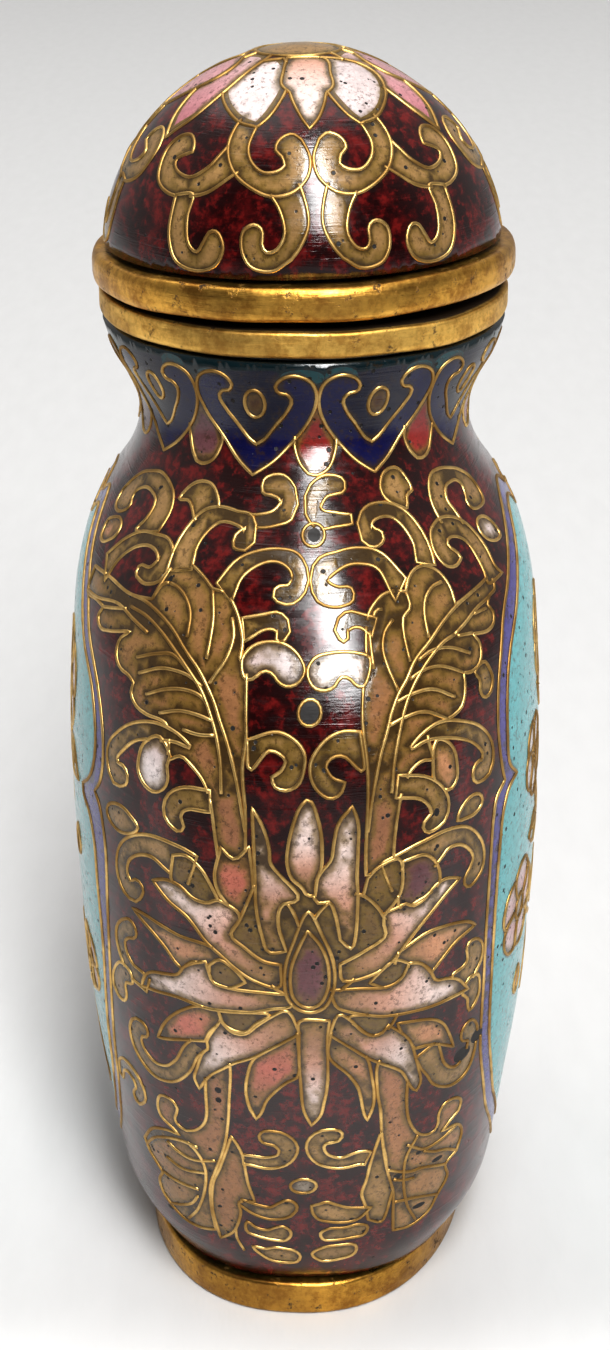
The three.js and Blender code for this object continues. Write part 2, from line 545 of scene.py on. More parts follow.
def triangulate(outline: np.ndarray, lines: Iterable[Line], fill: np.ndarray,
                clearance: float) -> tuple[np.ndarray, np.ndarray]:
    """Cut a flat field into triangles along lines.

    Args:
        outline: The field's edge.
        lines: The lines to cut along, and whether each is closed.
        fill: Points to spread over the field.
        clearance: Least distance between a fill point and a line.

    Returns:
        The points, and three point numbers a triangle.
    """
    points, edges, start = [], [], 0
    for path, closed in [(outline, True), *lines]:
        count = len(path)
        points.append(path)
        edges += [(start + k, start + (k + 1) % count) for k in range(count if closed else count - 1)]
        start += count
    drawn = np.vstack(points)
    tree = point_tree(drawn)
    spare = [spot for spot in fill if tree.find((spot[0], spot[1], 0))[2] > clearance]
    vectors = [Vector(spot) for spot in drawn] + [Vector(spot) for spot in spare]
    spots, _, faces, *_ = delaunay_2d_cdt(vectors, edges, [], 0, 1e-5)
    return np.array([tuple(spot) for spot in spots]), np.array([tuple(face) for face in faces])


@dataclass
class Skin:
    """A drawing cut into triangles, each corner with its enamel's colour.

    Attributes:
        drawing: The drawing.
        field: The edge of the flat field, which holds the whole drawing.
        fill: Points spread over the field.
        clearance: Least distance between one of them and a wire.
        reach: How far dirt spreads from a wire.
    """

    drawing: Drawing
    field: np.ndarray
    fill: np.ndarray
    clearance: float = 0.17
    reach: float = 0.8

    def cut(self) -> None:
        """Cut the field along the wires that show, and colour each triangle."""
        self.lines = self.drawing.visible_wires()
        edges = [(cell.outline, True) for cell in self.drawing.cells if not cell.wired]
        lines = self.within(self.lines + edges)
        self.flat, self.faces = triangulate(self.field, lines, self.fill, self.clearance)
        self.faces = self.faces[inside(self.flat[self.faces].mean(1), self.field)]
        middles = self.flat[self.faces].mean(1)
        owner = np.full(len(middles), -1)
        for index, cell in enumerate(self.drawing.cells):
            owner[inside(middles, cell.outline)] = index
        self.ground_faces = owner < 0
        corners = self.flat[self.faces.ravel()]
        owners = np.repeat(owner, 3)
        self.colours = np.tile(np.array(Tone.GROUND.value[0]), (len(corners), 1))
        for index, cell in enumerate(self.drawing.cells):
            mine = owners == index
            if mine.any():
                self.colours[mine] = cell.colours(corners[mine])
        self.closeness = self.near_wire()

    def within(self, lines: Iterable[Line], margin: float = 0.0) -> list[Line]:
        """Cut lines to the box round the field, widened by a margin."""
        low, high = self.field.min(0) - margin, self.field.max(0) + margin
        return [part for path, closed in lines
                for part in stretches(path, closed, ((path > low) & (path < high)).all(1))]

    def near_wire(self) -> np.ndarray:
        """How close each point lies to a wire: 1 on it, 0 where its dirt ends."""
        tree = point_tree(np.vstack([path for path, _ in self.lines]))
        gaps = np.array([tree.find((x, y, 0))[2] for x, y in self.flat])
        return np.clip(1 - gaps / self.reach, 0, 1)

    def lay(self, bm: bmesh.types.BMesh, surface: Surface, move: Point = (0.0, 0.0)) -> None:
        """Add the skin to a mesh, laid on a surface.

        Args:
            bm: The mesh.
            surface: The surface.
            move: Added to each flat point first.
        """
        tint = bm.loops.layers.float_color["tint"]
        edge, across = (bm.verts.layers.float[name] for name in ("edge", "across"))
        flat = self.flat + np.array(move)
        points = []
        for spot, place, close in zip(surface.points(flat) * MM, flat, self.closeness):
            vertex = bm.verts.new(spot)
            vertex[edge], vertex[across] = close, place[0]
            points.append(vertex)
        colours = self.colours.reshape(-1, 3, 3)
        for corners, shades, ground in zip(self.faces, colours, self.ground_faces):
            face = bm.faces.new([points[k] for k in corners])
            face.material_index, face.smooth = Coat.GROUND if ground else Coat.CELL, True
            for loop, shade in zip(face.loops, shades):
                loop[tint] = (*shade, 1)
        bmesh.ops.delete(bm, geom=[v for v in bm.verts if not v.link_faces], context="VERTS")


def skin_mesh() -> bmesh.types.BMesh:
    """Start a mesh with the layers that a skin fills."""
    bm = bmesh.new()
    bm.loops.layers.float_color.new("tint")
    bm.verts.layers.float.new("edge")
    bm.verts.layers.float.new("across")
    return bm


def mesh_object(name: str, bm: bmesh.types.BMesh, *materials: bpy.types.Material) -> bpy.types.Object:
    """Turn a mesh in metres into a smooth object at the origin.

    Args:
        name: The object's name.
        bm: The mesh, freed afterwards.
        *materials: The object's materials, in slot order.

    Returns:
        The object.
    """
    bmesh.ops.remove_doubles(bm, verts=bm.verts, dist=WELD)
    bmesh.ops.dissolve_degenerate(bm, edges=bm.edges, dist=1e-7)
    bmesh.ops.recalc_face_normals(bm, faces=bm.faces)
    for face in bm.faces:
        face.smooth = True
    mesh = bpy.data.meshes.new(name)
    bm.to_mesh(mesh)
    bm.free()
    for material in materials:
        mesh.materials.append(material)
    obj = bpy.data.objects.new(name, mesh)
    bpy.context.collection.objects.link(obj)
    triangles = sum(len(face.vertices) - 2 for face in mesh.polygons)
    log.info("%s: %d triangles", name, triangles)
    return obj


def extend(bm: bmesh.types.BMesh, ring: list, move: Callable[[bmesh.types.BMVert], Vector]) -> list:
    """Extrude a ring of edges and place its new points.

    Args:
        bm: The mesh.
        ring: The edges.
        move: Gives each new point's place, in metres.

    Returns:
        The new ring's edges.
    """
    made = bmesh.ops.extrude_edge_only(bm, edges=ring)["geom"]
    points = {item for item in made if isinstance(item, bmesh.types.BMVert)}
    for point in points:
        point.co = move(point)
    edges = (item for item in made if isinstance(item, bmesh.types.BMEdge))
    return [edge for edge in edges if points.issuperset(edge.verts)]


def open_ring(bm: bmesh.types.BMesh, height: float) -> list:
    """Find the open edges of a mesh at a height in millimetres."""
    return [edge for edge in bm.edges if edge.is_boundary
            and all(abs(vertex.co.z / MM - height) < 0.01 for vertex in edge.verts)]


def wire_object(name: str, lines: Iterable[Line], surface: Surface,
                material: bpy.types.Material) -> bpy.types.Object:
    """Lay thin round wires on a surface.

    Args:
        name: The object's name.
        lines: Each wire's flat path, and whether it is closed.
        surface: The surface.
        material: The wire's metal.

    Returns:
        The object.
    """
    rng = np.random.default_rng(SEED)
    curve = bpy.data.curves.new(name, "CURVE")
    curve.dimensions, curve.use_fill_caps = "3D", True
    curve.bevel_depth, curve.bevel_resolution = WIRE_RADIUS * MM, 1
    for path, closed in lines:
        spots = surface.points(path, -WIRE_SINK) * MM
        spline = curve.splines.new("POLY")
        spline.points.add(len(spots) - 1)
        spline.points.foreach_set("co", np.c_[spots, np.ones(len(spots))].ravel())
        uneven = 1 + 0.03 * np.convolve(rng.normal(size=len(spots) + 4), np.ones(5) / 2, "valid")
        spline.points.foreach_set("radius", np.clip(uneven, 0.75, 1.25))
        spline.use_cyclic_u = closed
    holder = bpy.data.objects.new(name + "_curve", curve)
    bm = bmesh.new()
    mesh = holder.to_mesh()
    bm.from_mesh(mesh)
    holder.to_mesh_clear()
    bpy.data.objects.remove(holder)
    bpy.data.curves.remove(curve)
    return mesh_object(name, bm, material)


def hex_grid(low: Point, high: Point, pitch: float) -> np.ndarray:
    """Spread points over a box in staggered rows.

    Args:
        low: The box's low corner.
        high: Its high corner.
        pitch: Distance between neighbours.

    Returns:
        One row a point.
    """
    rows = np.arange(low[1] + pitch / 2, high[1], pitch * 0.866)
    starts = low[0] + pitch * (0.25 + 0.5 * (np.arange(len(rows)) % 2))
    lines = [[(x, row) for x in np.arange(start, high[0], pitch)] for start, row in zip(starts, rows)]
    return np.array([spot for line in lines for spot in line])


# Finishes


class Value:
    """A shader value. Arithmetic on it adds nodes."""

    def __init__(self, graph: "Graph", socket: bpy.types.NodeSocket) -> None:
        """Keep the graph and the socket."""
        self.graph, self.socket = graph, socket

    def joined(self, operation: str, first: object, second: object) -> "Value":
        """Add the maths node for two values, of which either may be a colour or vector."""
        wide = any(isinstance(side, (tuple, list)) or getattr(getattr(side, "socket", None), "type", "")
                   in ("RGBA", "VECTOR") for side in (first, second))
        kind = "ShaderNodeVectorMath" if wide else "ShaderNodeMath"
        return self.graph.node(kind, {0: first, 1: second}, operation=operation)

    def __add__(self, other: object) -> "Value":
        """Add."""
        return self.joined("ADD", self, other)

    def __sub__(self, other: object) -> "Value":
        """Take away."""
        return self.joined("SUBTRACT", self, other)

    def __rsub__(self, other: object) -> "Value":
        """Take this value away from another."""
        return self.joined("SUBTRACT", other, self)

    def __mul__(self, other: object) -> "Value":
        """Multiply."""
        return self.joined("MULTIPLY", self, other)

    def __truediv__(self, other: object) -> "Value":
        """Divide."""
        return self.joined("DIVIDE", self, other)

    __radd__ = __add__
    __rmul__ = __mul__

    def between(self, low: float, high: float, out_low: float = 0.0, out_high: float = 1.0) -> "Value":
        """Spread the span from low to high smoothly over another span, held at its ends."""
        spans = {0: self, 1: low, 2: high, 3: out_low, 4: out_high}
        return self.graph.node("ShaderNodeMapRange", spans, interpolation_type="SMOOTHSTEP")

    def blend(self, off: object, on: object) -> "Value":
        """Mix two colours: the first where this value is 0, the second where it is 1."""
        return self.graph.node("ShaderNodeMix", {0: self, 6: off, 7: on}, 2, data_type="RGBA")


class Graph:
    """A material and its nodes."""

    def __init__(self, name: str) -> None:
        """Start an empty material."""
        self.material = bpy.data.materials.new(name)
        self.material.use_nodes = True
        self.tree = self.material.node_tree
        self.tree.nodes.clear()
        self.spot = self.node("ShaderNodeTexCoord", {}, "Object")

    def node(self, kind: str, inputs: dict, output: object = 0, **settings) -> Value:
        """Add a node.

        Args:
            kind: Its type.
            inputs: A value for each input, by name or number.
            output: The output wanted, by name or number.
            **settings: The node's own settings.

        Returns:
            The output's value.
        """
        made = self.tree.nodes.new(kind)
        for key, setting in settings.items():
            setattr(made, key, setting)
        for key, value in inputs.items():
            self.feed(made.inputs[key], value)
        return Value(self, made.outputs[output])

    def feed(self, socket: bpy.types.NodeSocket, value: object) -> None:
        """Link a value to an input, or set a plain number or colour on it."""
        if isinstance(value, Value):
            self.tree.links.new(value.socket, socket)
        elif socket.type == "RGBA":
            socket.default_value = (*value, 1)[:4]
        elif socket.type == "VECTOR" and isinstance(value, (int, float)):
            socket.default_value = (value,) * 3
        else:
            socket.default_value = value

    def noise(self, size: float, detail: float = 2.0, rough: float = 0.5, stretch: Knot = (1, 1, 1),
              shift: float = 0.0) -> Value:
        """Cloudy noise from 0 to 1, in patches of a size in millimetres, finer along a stretched axis."""
        spot = self.spot * tuple(stretch) + (shift, shift, shift)
        return self.node("ShaderNodeTexNoise", {"Vector": spot, "Scale": 1 / (size * MM), "Detail": detail,
                                                "Roughness": rough})

    def dots(self, pitch: float, size: float, share: float, shift: float = 0.0) -> Value:
        """Small round dots: 1 in a dot, 0 outside.

        Args:
            pitch: Distance between the places where a dot may lie, in millimetres.
            size: A dot's greatest radius, in millimetres.
            share: Share of the places that have a dot.
            shift: Moves them, to tell one set from another.

        Returns:
            The dots.
        """
        spot = self.spot + (shift, shift, shift)
        inputs = {"Vector": spot, "Scale": 1 / (pitch * MM)}
        gap = self.node("ShaderNodeTexVoronoi", inputs, "Distance")
        chance = self.node("ShaderNodeSeparateColor", {0: self.node("ShaderNodeTexVoronoi", inputs, "Color")})
        reach = chance.between(1 - share, 1, 0.0, size / pitch)
        return (reach - gap).between(0, 0.35 * size / pitch)

    def finish(self, **inputs: object) -> bpy.types.Material:
        """Add the surface shader and return the material.

        Args:
            **inputs: The shader's inputs, spaces as underscores. Bump is a height in millimetres.

        Returns:
            The material.
        """
        height = inputs.pop("Bump", None)
        surface = {key.replace("_", " "): value for key, value in inputs.items()}
        if height is not None:
            bump = {"Height": height, "Distance": MM, "Strength": 1.0}
            surface["Normal"] = self.node("ShaderNodeBump", bump)
        shader = self.node("ShaderNodeBsdfPrincipled", surface)
        end = self.tree.nodes.new("ShaderNodeOutputMaterial")
        self.tree.links.new(shader.socket, end.inputs["Surface"])
        return self.material


def polish_marks(g: Graph) -> Value:
    """Fine scratches round the piece, left by its polishing, in millimetres of height."""
    fine = g.noise(0.9, 3, 0.75, (0.5, 0.5, 9.0), 0.9)
    coarse = g.noise(2.2, 2, 0.6, (0.25, 0.25, 7.0), 0.2)
    return fine * 0.010 + coarse.between(0.56, 0.66) * 0.005


@dataclass(frozen=True)
class CellEnamel:
    """Opaque enamel in a cell, coloured by the drawing, pinholed and rubbed."""

    name: str = "cell_enamel"
    roughness: float = 0.16
    grime: Knot = (0.030, 0.016, 0.006)
    margin: Knot = (0.180, 0.112, 0.022)

    def material(self) -> bpy.types.Material:
        """Make the material."""
        g = Graph(self.name)
        tint = g.node("ShaderNodeAttribute", {}, "Color", attribute_name="tint")
        near = g.node("ShaderNodeAttribute", {}, "Fac", attribute_name="edge")
        cloud = g.noise(1.2, 5, 0.7)
        grain = g.noise(0.17, 2, 0.7, shift=0.3)
        parts = g.node("ShaderNodeSeparateColor", {0: tint})
        warm = (parts - g.node("ShaderNodeSeparateColor", {0: tint}, 2) * 1.05).between(0.02, 0.10)
        halo = (near + g.noise(0.8, 3, 0.6, shift=0.5) * 0.8 - 0.55).between(0.10, 0.60, 0, 0.80)
        colour = (halo * warm).blend(tint, self.margin)
        colour = colour * (0.22 + cloud * 0.78 + grain * 0.36)
        dust = (g.noise(0.36, 4, 0.8, shift=0.7) + cloud * 0.35).between(0.68, 0.84)
        colour = (dust * 0.62).blend(colour, self.grime)
        rub = (near - 0.62 + g.noise(0.7, 3, 0.6, shift=0.1) * 0.5).between(0.18, 0.55, 0, 0.86)
        colour = rub.blend(colour, self.grime)
        chipped = (parts + g.node("ShaderNodeSeparateColor", {0: tint}, 2)).between(0.014, 0.017, 1, 0)
        pits = (g.dots(0.52, 0.16, 0.70) + chipped).between(0, 1)
        colour = pits.blend(colour, (0.006, 0.004, 0.003))
        wear = g.noise(0.5, 5, 0.7, (0.25, 0.25, 1.0), 0.9)
        rough = self.roughness + wear.between(0.45, 0.75, 0, 0.14) + pits * 0.4
        height = g.noise(2.6, 1, 0.4, shift=0.2) * 0.028 + grain * 0.0035 - pits * 0.03 - rub * 0.010
        return g.finish(Base_Color=colour, Roughness=rough, IOR=1.5, Bump=height + polish_marks(g))


@dataclass(frozen=True)
class GroundEnamel:
    """The dark red ground between the cells, mottled with brighter red."""

    name: str = "ground_enamel"
    roughness: float = 0.14
    deep: Knot = (0.0120, 0.0012, 0.0014)
    middle: Knot = (0.0540, 0.0026, 0.0028)
    bright: Knot = (0.125, 0.0070, 0.0062)

    def material(self) -> bpy.types.Material:
        """Make the material."""
        g = Graph(self.name)
        near = g.node("ShaderNodeAttribute", {}, "Fac", attribute_name="edge")
        cloud = g.noise(1.6, 3, 0.6, shift=0.4)
        speck = g.noise(0.50, 3, 0.62, shift=0.8)
        colour = (cloud * 0.7 + speck * 0.4).between(0.46, 0.64).blend(self.deep, self.middle)
        colour = (speck * 0.75 + cloud * 0.35).between(0.54, 0.72, 0, 0.95).blend(colour, self.bright)
        rub = (near - 0.62 + g.noise(0.7, 3, 0.6, shift=0.1) * 0.5).between(0.15, 0.6, 0, 0.7)
        colour = rub.blend(colour, (0.010, 0.004, 0.003))
        pits = g.dots(1.1, 0.12, 0.22, 0.6)
        colour = pits.blend(colour, (0.004, 0.003, 0.003))
        wear = g.noise(0.5, 5, 0.7, (0.25, 0.25, 1.0), 0.9)
        rough = self.roughness + wear.between(0.45, 0.75, 0, 0.13) + pits * 0.4
        height = g.noise(2.6, 1, 0.4, shift=0.2) * 0.028 + speck * 0.0025 - pits * 0.03
        return g.finish(Base_Color=colour, Roughness=rough, IOR=1.5, Bump=height + polish_marks(g))


@dataclass(frozen=True)
class CounterEnamel:
    """Plain enamel inside and underneath, less finely ground."""

    name: str = "counter_enamel"
    colour: Knot = (0.012, 0.045, 0.070)

    def material(self) -> bpy.types.Material:
        """Make the material."""
        g = Graph(self.name)
        cloud = g.noise(3.0, 4, 0.6)
        grain = g.noise(0.35, 3, 0.7, shift=0.3)
        pits = g.dots(1.2, 0.16, 0.4)
        colour = g.node("ShaderNodeRGB", {})
        colour.socket.default_value = (*self.colour, 1)
        colour = colour * (0.7 + cloud * 0.4 + grain * 0.2)
        colour = pits.blend(colour, (0.010, 0.012, 0.012))
        rough = 0.24 + grain * 0.2 + pits * 0.3
        return g.finish(Base_Color=colour, Roughness=rough, Bump=cloud * 0.06 + grain * 0.012 - pits * 0.05)


@dataclass(frozen=True)
class Gilt:
    """Worn gilding over copper: bright where it is rubbed, brown where dirt stays, and dark with painted
    shade where a ring's edge attribute marks a gap or recess.
    """

    name: str
    bright: Knot
    worn: Knot
    # Colour of the random dirt stains, and also of the painted shade in gaps and recesses.
    dirt_and_shade: Knot = (0.040, 0.020, 0.006)
    roughness: float = 0.26
    soil: float = 0.5
    relief: float = 1.0
    dullness: float = 0.35
    tarnish: Knot = (0.270, 0.150, 0.042)
    grain: Knot = (0.12, 0.12, 1.3)

    def material(self) -> bpy.types.Material:
        """Make the material."""
        g = Graph(self.name)
        cloud = g.noise(1.7, 4, 0.65)
        fine = g.noise(0.30, 4, 0.7, shift=0.3)
        brushed = g.noise(0.35, 3, 0.7, self.grain, 0.6)
        colour = (cloud * 0.65 + fine * 0.4).between(0.40, 0.66).blend(self.bright, self.worn)
        dull = g.noise(6.5, 3, 0.6, shift=1.4).between(0.42, 0.60, 0, self.dullness)
        colour = dull.blend(colour, self.tarnish)
        stain_and_shade = (g.noise(1.1, 5, 0.72, shift=0.9) + fine * 0.35).between(0.72, 0.90, 0, self.soil)
        # On rings the edge attribute marks painted shade in gaps and recesses; it is added to the random dirt
        # stains.
        near = g.node("ShaderNodeAttribute", {}, "Fac", attribute_name="edge")
        stain_and_shade = (stain_and_shade + near).between(0.0, 0.9, 0, 1)
        colour = stain_and_shade.blend(colour, self.dirt_and_shade)
        rough = self.roughness + brushed.between(0.35, 0.8, 0, 0.16) + stain_and_shade * 0.35 + dull * 0.15
        height = (cloud * 0.030 + brushed * 0.030 + fine * 0.008 - stain_and_shade * 0.016) * self.relief
        return g.finish(Base_Color=colour, Roughness=rough, Metallic=1.0 - stain_and_shade * 0.7, Bump=height)


@dataclass(frozen=True)
class PaleBoard:
    """The pale, faintly grained floor, with a painted pool of light just before the bottle and painted shadow
    beyond it.
    """

    name: str = "pale_board"
    # Painted light: the brighter floor just before the foot.
    near: Knot = (0.82, 0.82, 0.82)
    # Painted shadow: the dimmer floor farther out in front.
    far: Knot = (0.22, 0.22, 0.22)

    def material(self) -> bpy.types.Material:
        """Make the material."""
        g = Graph(self.name)
        grain = g.noise(2.4, 3, 0.5, (0.35, 1, 1))
        colour = grain.blend((0.525, 0.523, 0.52), (0.565, 0.563, 0.56))
        along = g.node("ShaderNodeSeparateXYZ", {0: g.spot})
        # A painted pool of light just before the foot, then painted shadow beyond it.
        colour = along.between(0.014, 0.030).blend(colour, self.near)
        colour = along.between(0.034, 0.078).blend(colour, self.far)
        return g.finish(Base_Color=colour, Roughness=0.55, Bump=grain * 0.10)


# The bottle's pieces


@dataclass
class BottleBody:
    """The enamelled wall, its base and its inside, with the wires on it.

    Attributes:
        wall: The wall's shape.
        drawing: What is drawn on half of it, from the middle of one broad face to the other.
        floor: Thickness of the floor in millimetres.
        border: Distance between points along the half's edge.
        pitch: Distance between points spread inside it.
        rows: Rows of points down the inside.
        seam: How far a wire may run on past the half's edge.
    """

    wall: OvalWall
    drawing: Drawing
    floor: float = 1.6
    border: float = 0.5
    pitch: float = 0.62
    rows: int = 44
    seam: float = 0.02

    def field(self) -> np.ndarray:
        """The edge of the half that is drawn."""
        half, low, high = self.wall.quarter, self.wall.base[2], self.wall.lip[2]
        across = np.linspace(-half, half, int(2 * half / self.border) + 1)
        up = np.linspace(low, high, int((high - low) / self.border) + 1)
        sides = [np.stack(np.broadcast_arrays(x, z), 1) for x, z in
                 ((across[:-1], low), (half, up[:-1]), (across[:0:-1], high), (-half, up[:0:-1]))]
        return np.vstack(sides)

    def build(self, enamel: Sequence[bpy.types.Material],
              metal: bpy.types.Material) -> list[bpy.types.Object]:
        """Build the wall and its wires.

        Args:
            enamel: The enamels of the cells, the ground and the inside.
            metal: The wires' metal.

        Returns:
            The wall and the wires.
        """
        half, low, high = self.wall.quarter, self.wall.base[2], self.wall.lip[2]
        skin = Skin(self.drawing, self.field(), hex_grid((-half, low), (half, high), self.pitch))
        skin.cut()
        bm = skin_mesh()
        skin.lay(bm, self.wall)
        skin.lay(bm, self.wall, (2 * half, 0))
        bmesh.ops.remove_doubles(bm, verts=bm.verts, dist=WELD)
        outer = set(bm.faces)
        self.line(bm)
        self.close_base(bm)
        for face in set(bm.faces) - outer:
            face.material_index = Coat.COUNTER
        self.glaze_lip(bm)
        body = mesh_object("body_enamel", bm, *enamel)
        lines = skin.within(skin.lines, self.seam)
        both = lines + [(path + [2 * half, 0], closed) for path, closed in lines]
        return [body, wire_object("body_wires", both, self.wall, metal)]

    def line(self, bm: bmesh.types.BMesh) -> None:
        """Turn the wall over the lip and run it down the inside to the floor."""
        across = bm.verts.layers.float["across"]
        ring = open_ring(bm, self.wall.lip[2])
        bottom = self.wall.base[2] + self.floor
        for height in np.linspace(self.wall.lip[2], bottom, self.rows):
            def place(vertex: bmesh.types.BMVert, height: float = height) -> Vector:
                """The inside wall's point at this height."""
                return Vector(self.wall.at(np.array([[vertex[across], height]]), True)[0] * MM)
            ring = extend(bm, ring, place)
        self.close(bm, ring, bottom)

    def glaze_lip(self, bm: bmesh.types.BMesh) -> None:
        """Give the lip's top the neck's dark enamel."""
        tint = bm.loops.layers.float_color["tint"]
        for face in bm.faces:
            if all(abs(vertex.co.z / MM - self.wall.lip[2]) < 0.01 for vertex in face.verts):
                face.material_index = Coat.CELL
                for loop in face.loops:
                    loop[tint] = (*Tone.TEAL.value[0], 1)

    def close_base(self, bm: bmesh.types.BMesh) -> None:
        """Close the bottle underneath."""
        self.close(bm, open_ring(bm, self.wall.base[2]), self.wall.base[2])

    @staticmethod
    def close(bm: bmesh.types.BMesh, ring: list, height: float) -> None:
        """Draw a ring of edges in to the middle at a height in millimetres."""
        for before, after in ((1.0, 0.8), (0.8, 0.55), (0.55, 0.3), (0.3, 0.1), (0.1, 0.0)):
            def place(vertex: bmesh.types.BMVert, share: float = after / before) -> Vector:
                """The point drawn in towards the middle."""
                return Vector((vertex.co.x * share, vertex.co.y * share, height * MM))
            ring = extend(bm, ring, place)


@dataclass
class LidDome:
    """The lid's enamelled dome, its hollow, and the wires on it.

    Attributes:
        dome: The dome's shape.
        drawing: What is drawn on it.
        pitch: Distance between points spread over it.
        border: Points round its edge.
        rows: Rows of points up its inside.
        clear: How far from its edge the spread points stop.
        trim: How far from its edge the wires stop.
    """

    dome: DomeShell
    drawing: Drawing
    pitch: float = 0.55
    border: int = 220
    rows: int = 26
    clear: float = 0.3
    trim: float = 0.05

    def build(self, enamel: Sequence[bpy.types.Material],
              metal: bpy.types.Material) -> list[bpy.types.Object]:
        """Build the dome and its wires.

        Args:
            enamel: The enamels of the cells, the ground and the inside.
            metal: The wires' metal.

        Returns:
            The dome and the wires.
        """
        edge = self.dome.edge
        turns = np.arange(self.border) / self.border * TAU
        rim = np.stack([np.cos(turns), np.sin(turns)], 1) * edge
        fill = hex_grid((-edge, -edge), (edge, edge), self.pitch)
        skin = Skin(self.drawing, rim, fill[np.hypot(*fill.T) < edge - self.clear])
        skin.cut()
        bm = skin_mesh()
        skin.lay(bm, self.dome)
        outer = set(bm.faces)
        self.line(bm)
        for face in set(bm.faces) - outer:
            face.material_index = Coat.COUNTER
        lines = [part for path, closed in skin.within(skin.lines)
                 for part in stretches(path, closed, np.hypot(*path.T) < edge - self.trim)]
        return [mesh_object("lid_enamel", bm, *enamel),
                wire_object("lid_wires", lines, self.dome, metal)]

    def line(self, bm: bmesh.types.BMesh) -> None:
        """Turn the dome under its edge and run it up the inside to the crown."""
        dome = self.dome
        ring = [edge for edge in bm.edges if edge.is_boundary]
        for share in np.linspace(0, 1, self.rows):
            turn = share * math.pi / 2
            reach = (dome.radius - dome.wall) * math.cos(turn) ** (2 / dome.power) if share < 1 else 0.0
            rise = (dome.height - dome.wall) * math.sin(turn) ** (2 / dome.power)

            def place(vertex: bmesh.types.BMVert, reach: float = reach, rise: float = rise) -> Vector:
                """The hollow's point straight in from this one."""
                angle = math.atan2(vertex.co.y, vertex.co.x)
                spot = np.array([[reach * math.cos(angle), reach * math.sin(angle), dome.foot + rise]])
                return Vector(dome.tilted(spot)[0] * MM)
            ring = extend(bm, ring, place)


@dataclass
class MetalRing:
    """A turned metal ring, slightly uneven as if filed by hand.

    Attributes:
        name: The piece's name.
        outline: Its closed section, radius and height in millimetres.
        level: Height of the section's zero.
        bevels: Width of each kind of rounded edge, by the corners it rounds.
        seed: Sets its unevenness.
        wave: How uneven it is, in millimetres.
        dome: The lid whose tilt it takes, if any.
        shaded_boxes: Corners of the boxes of its section that get painted shade, in the gaps and recesses
            between pieces.
        steps: Steps of the spin.
    """

    name: str
    outline: Sequence[Point]
    level: float
    bevels: dict[float, Sequence[int]] = field(default_factory=dict)
    seed: float = 0.0
    wave: float = 0.08
    dome: Optional[DomeShell] = None
    shaded_boxes: Sequence[tuple[Point, Point]] = ()
    steps: int = 144

    def build(self, metal: bpy.types.Material) -> bpy.types.Object:
        """Spin the section and round its edges.

        Args:
            metal: The ring's metal.

        Returns:
            The ring.
        """
        bm = bmesh.new()
        corners = [bm.verts.new((radius * MM, 0, height * MM)) for radius, height in self.outline]
        edges = [bm.edges.new((a, b)) for a, b in zip(corners, corners[1:] + corners[:1])]
        bmesh.ops.spin(bm, geom=corners + edges, axis=(0, 0, 1), cent=(0, 0, 0), steps=self.steps, angle=TAU,
                       use_merge=True)
        bmesh.ops.remove_doubles(bm, verts=bm.verts, dist=1e-7)
        bmesh.ops.recalc_face_normals(bm, faces=bm.faces)
        for width, which in self.bevels.items():
            self.round_edges(bm, width, [self.outline[k] for k in which])
        # Points inside the shaded boxes get painted shade through the edge attribute; this grime layer holds
        # painted shade, not dirt.
        grime = bm.verts.layers.float.new("edge")
        for vertex in bm.verts:
            spot = (math.hypot(vertex.co.x, vertex.co.y) / MM, vertex.co.z / MM)
            vertex[grime] = float(any(all(a <= v <= b for a, v, b in zip(low, spot, high))
                                      for low, high in self.shaded_boxes))
        self.unsettle(bm)
        return mesh_object(self.name, bm, metal)

    def round_edges(self, bm: bmesh.types.BMesh, width: float, corners: Sequence[Point]) -> None:
        """Bevel the circular edges that run through these corners of the section.

        Args:
            bm: The ring.
            width: The bevel's width in millimetres.
            corners: Radius and height of each corner.
        """
        def fits(vertex: bmesh.types.BMVert) -> bool:
            """Whether a point lies on one of the corners' circles."""
            spot = (math.hypot(vertex.co.x, vertex.co.y) / MM, vertex.co.z / MM)
            return any(math.dist(spot, corner) < 0.01 for corner in corners)

        edges = [edge for edge in bm.edges if all(fits(v) for v in edge.verts)
                 and abs(edge.verts[0].co.z - edge.verts[1].co.z) < 1e-7]
        bmesh.ops.bevel(bm, geom=edges, offset=width * MM, segments=4, affect="EDGES", profile=0.5,
                        material=-1)

    def unsettle(self, bm: bmesh.types.BMesh) -> None:
        """Make the ring slightly uneven and lift it to its height, tilted if it is the lid's."""
        for vertex in bm.verts:
            x, y, z = vertex.co / MM
            turn = math.atan2(y, x)
            swing = (math.sin(3 * turn + self.seed) * 0.5 + math.sin(7 * turn + 2.1 * self.seed) * 0.3
                     + math.sin(13 * turn + 4.7 * self.seed) * 0.2)
            dip = math.sin(5 * turn + 1.3 * self.seed) * 0.6 + math.sin(11 * turn + 3.1 * self.seed) * 0.4
            grown = 1 + self.wave * swing / max(math.hypot(x, y), 1)
            spot = np.array([[x * grown, y * grown, z + self.level + self.wave * 0.7 * dip]])
            vertex.co = Vector((self.dome.tilted(spot) if self.dome else spot)[0] * MM)


@dataclass
class NeckCollar:
    """The flat gilt collar round the mouth. Lengths are in millimetres."""

    mouth: float = 8.4
    seat: float = 11.6
    skirt: float = 11.78
    height: float = 1.4
    brow: float = 0.06

    def ring(self, level: float) -> MetalRing:
        """Shape the collar, its underside at this height."""
        top = self.height
        outline = ((self.mouth, 0), (self.seat, 0), (self.skirt, 0.2), (self.skirt, top),
                   (self.seat - 0.3, top + self.brow), (self.mouth, top))
        # Painted shade on the collar's top, in the gap under the lid, and inside its mouth.
        shaded_boxes = (((8, top - 0.1), (11.5, top + 0.1)), ((8, -1), (8.6, 2)))
        return MetalRing("collar", outline, level, {0.16: (2, 3), 0.1: (0, 5)}, 1.0, shaded_boxes=shaded_boxes)


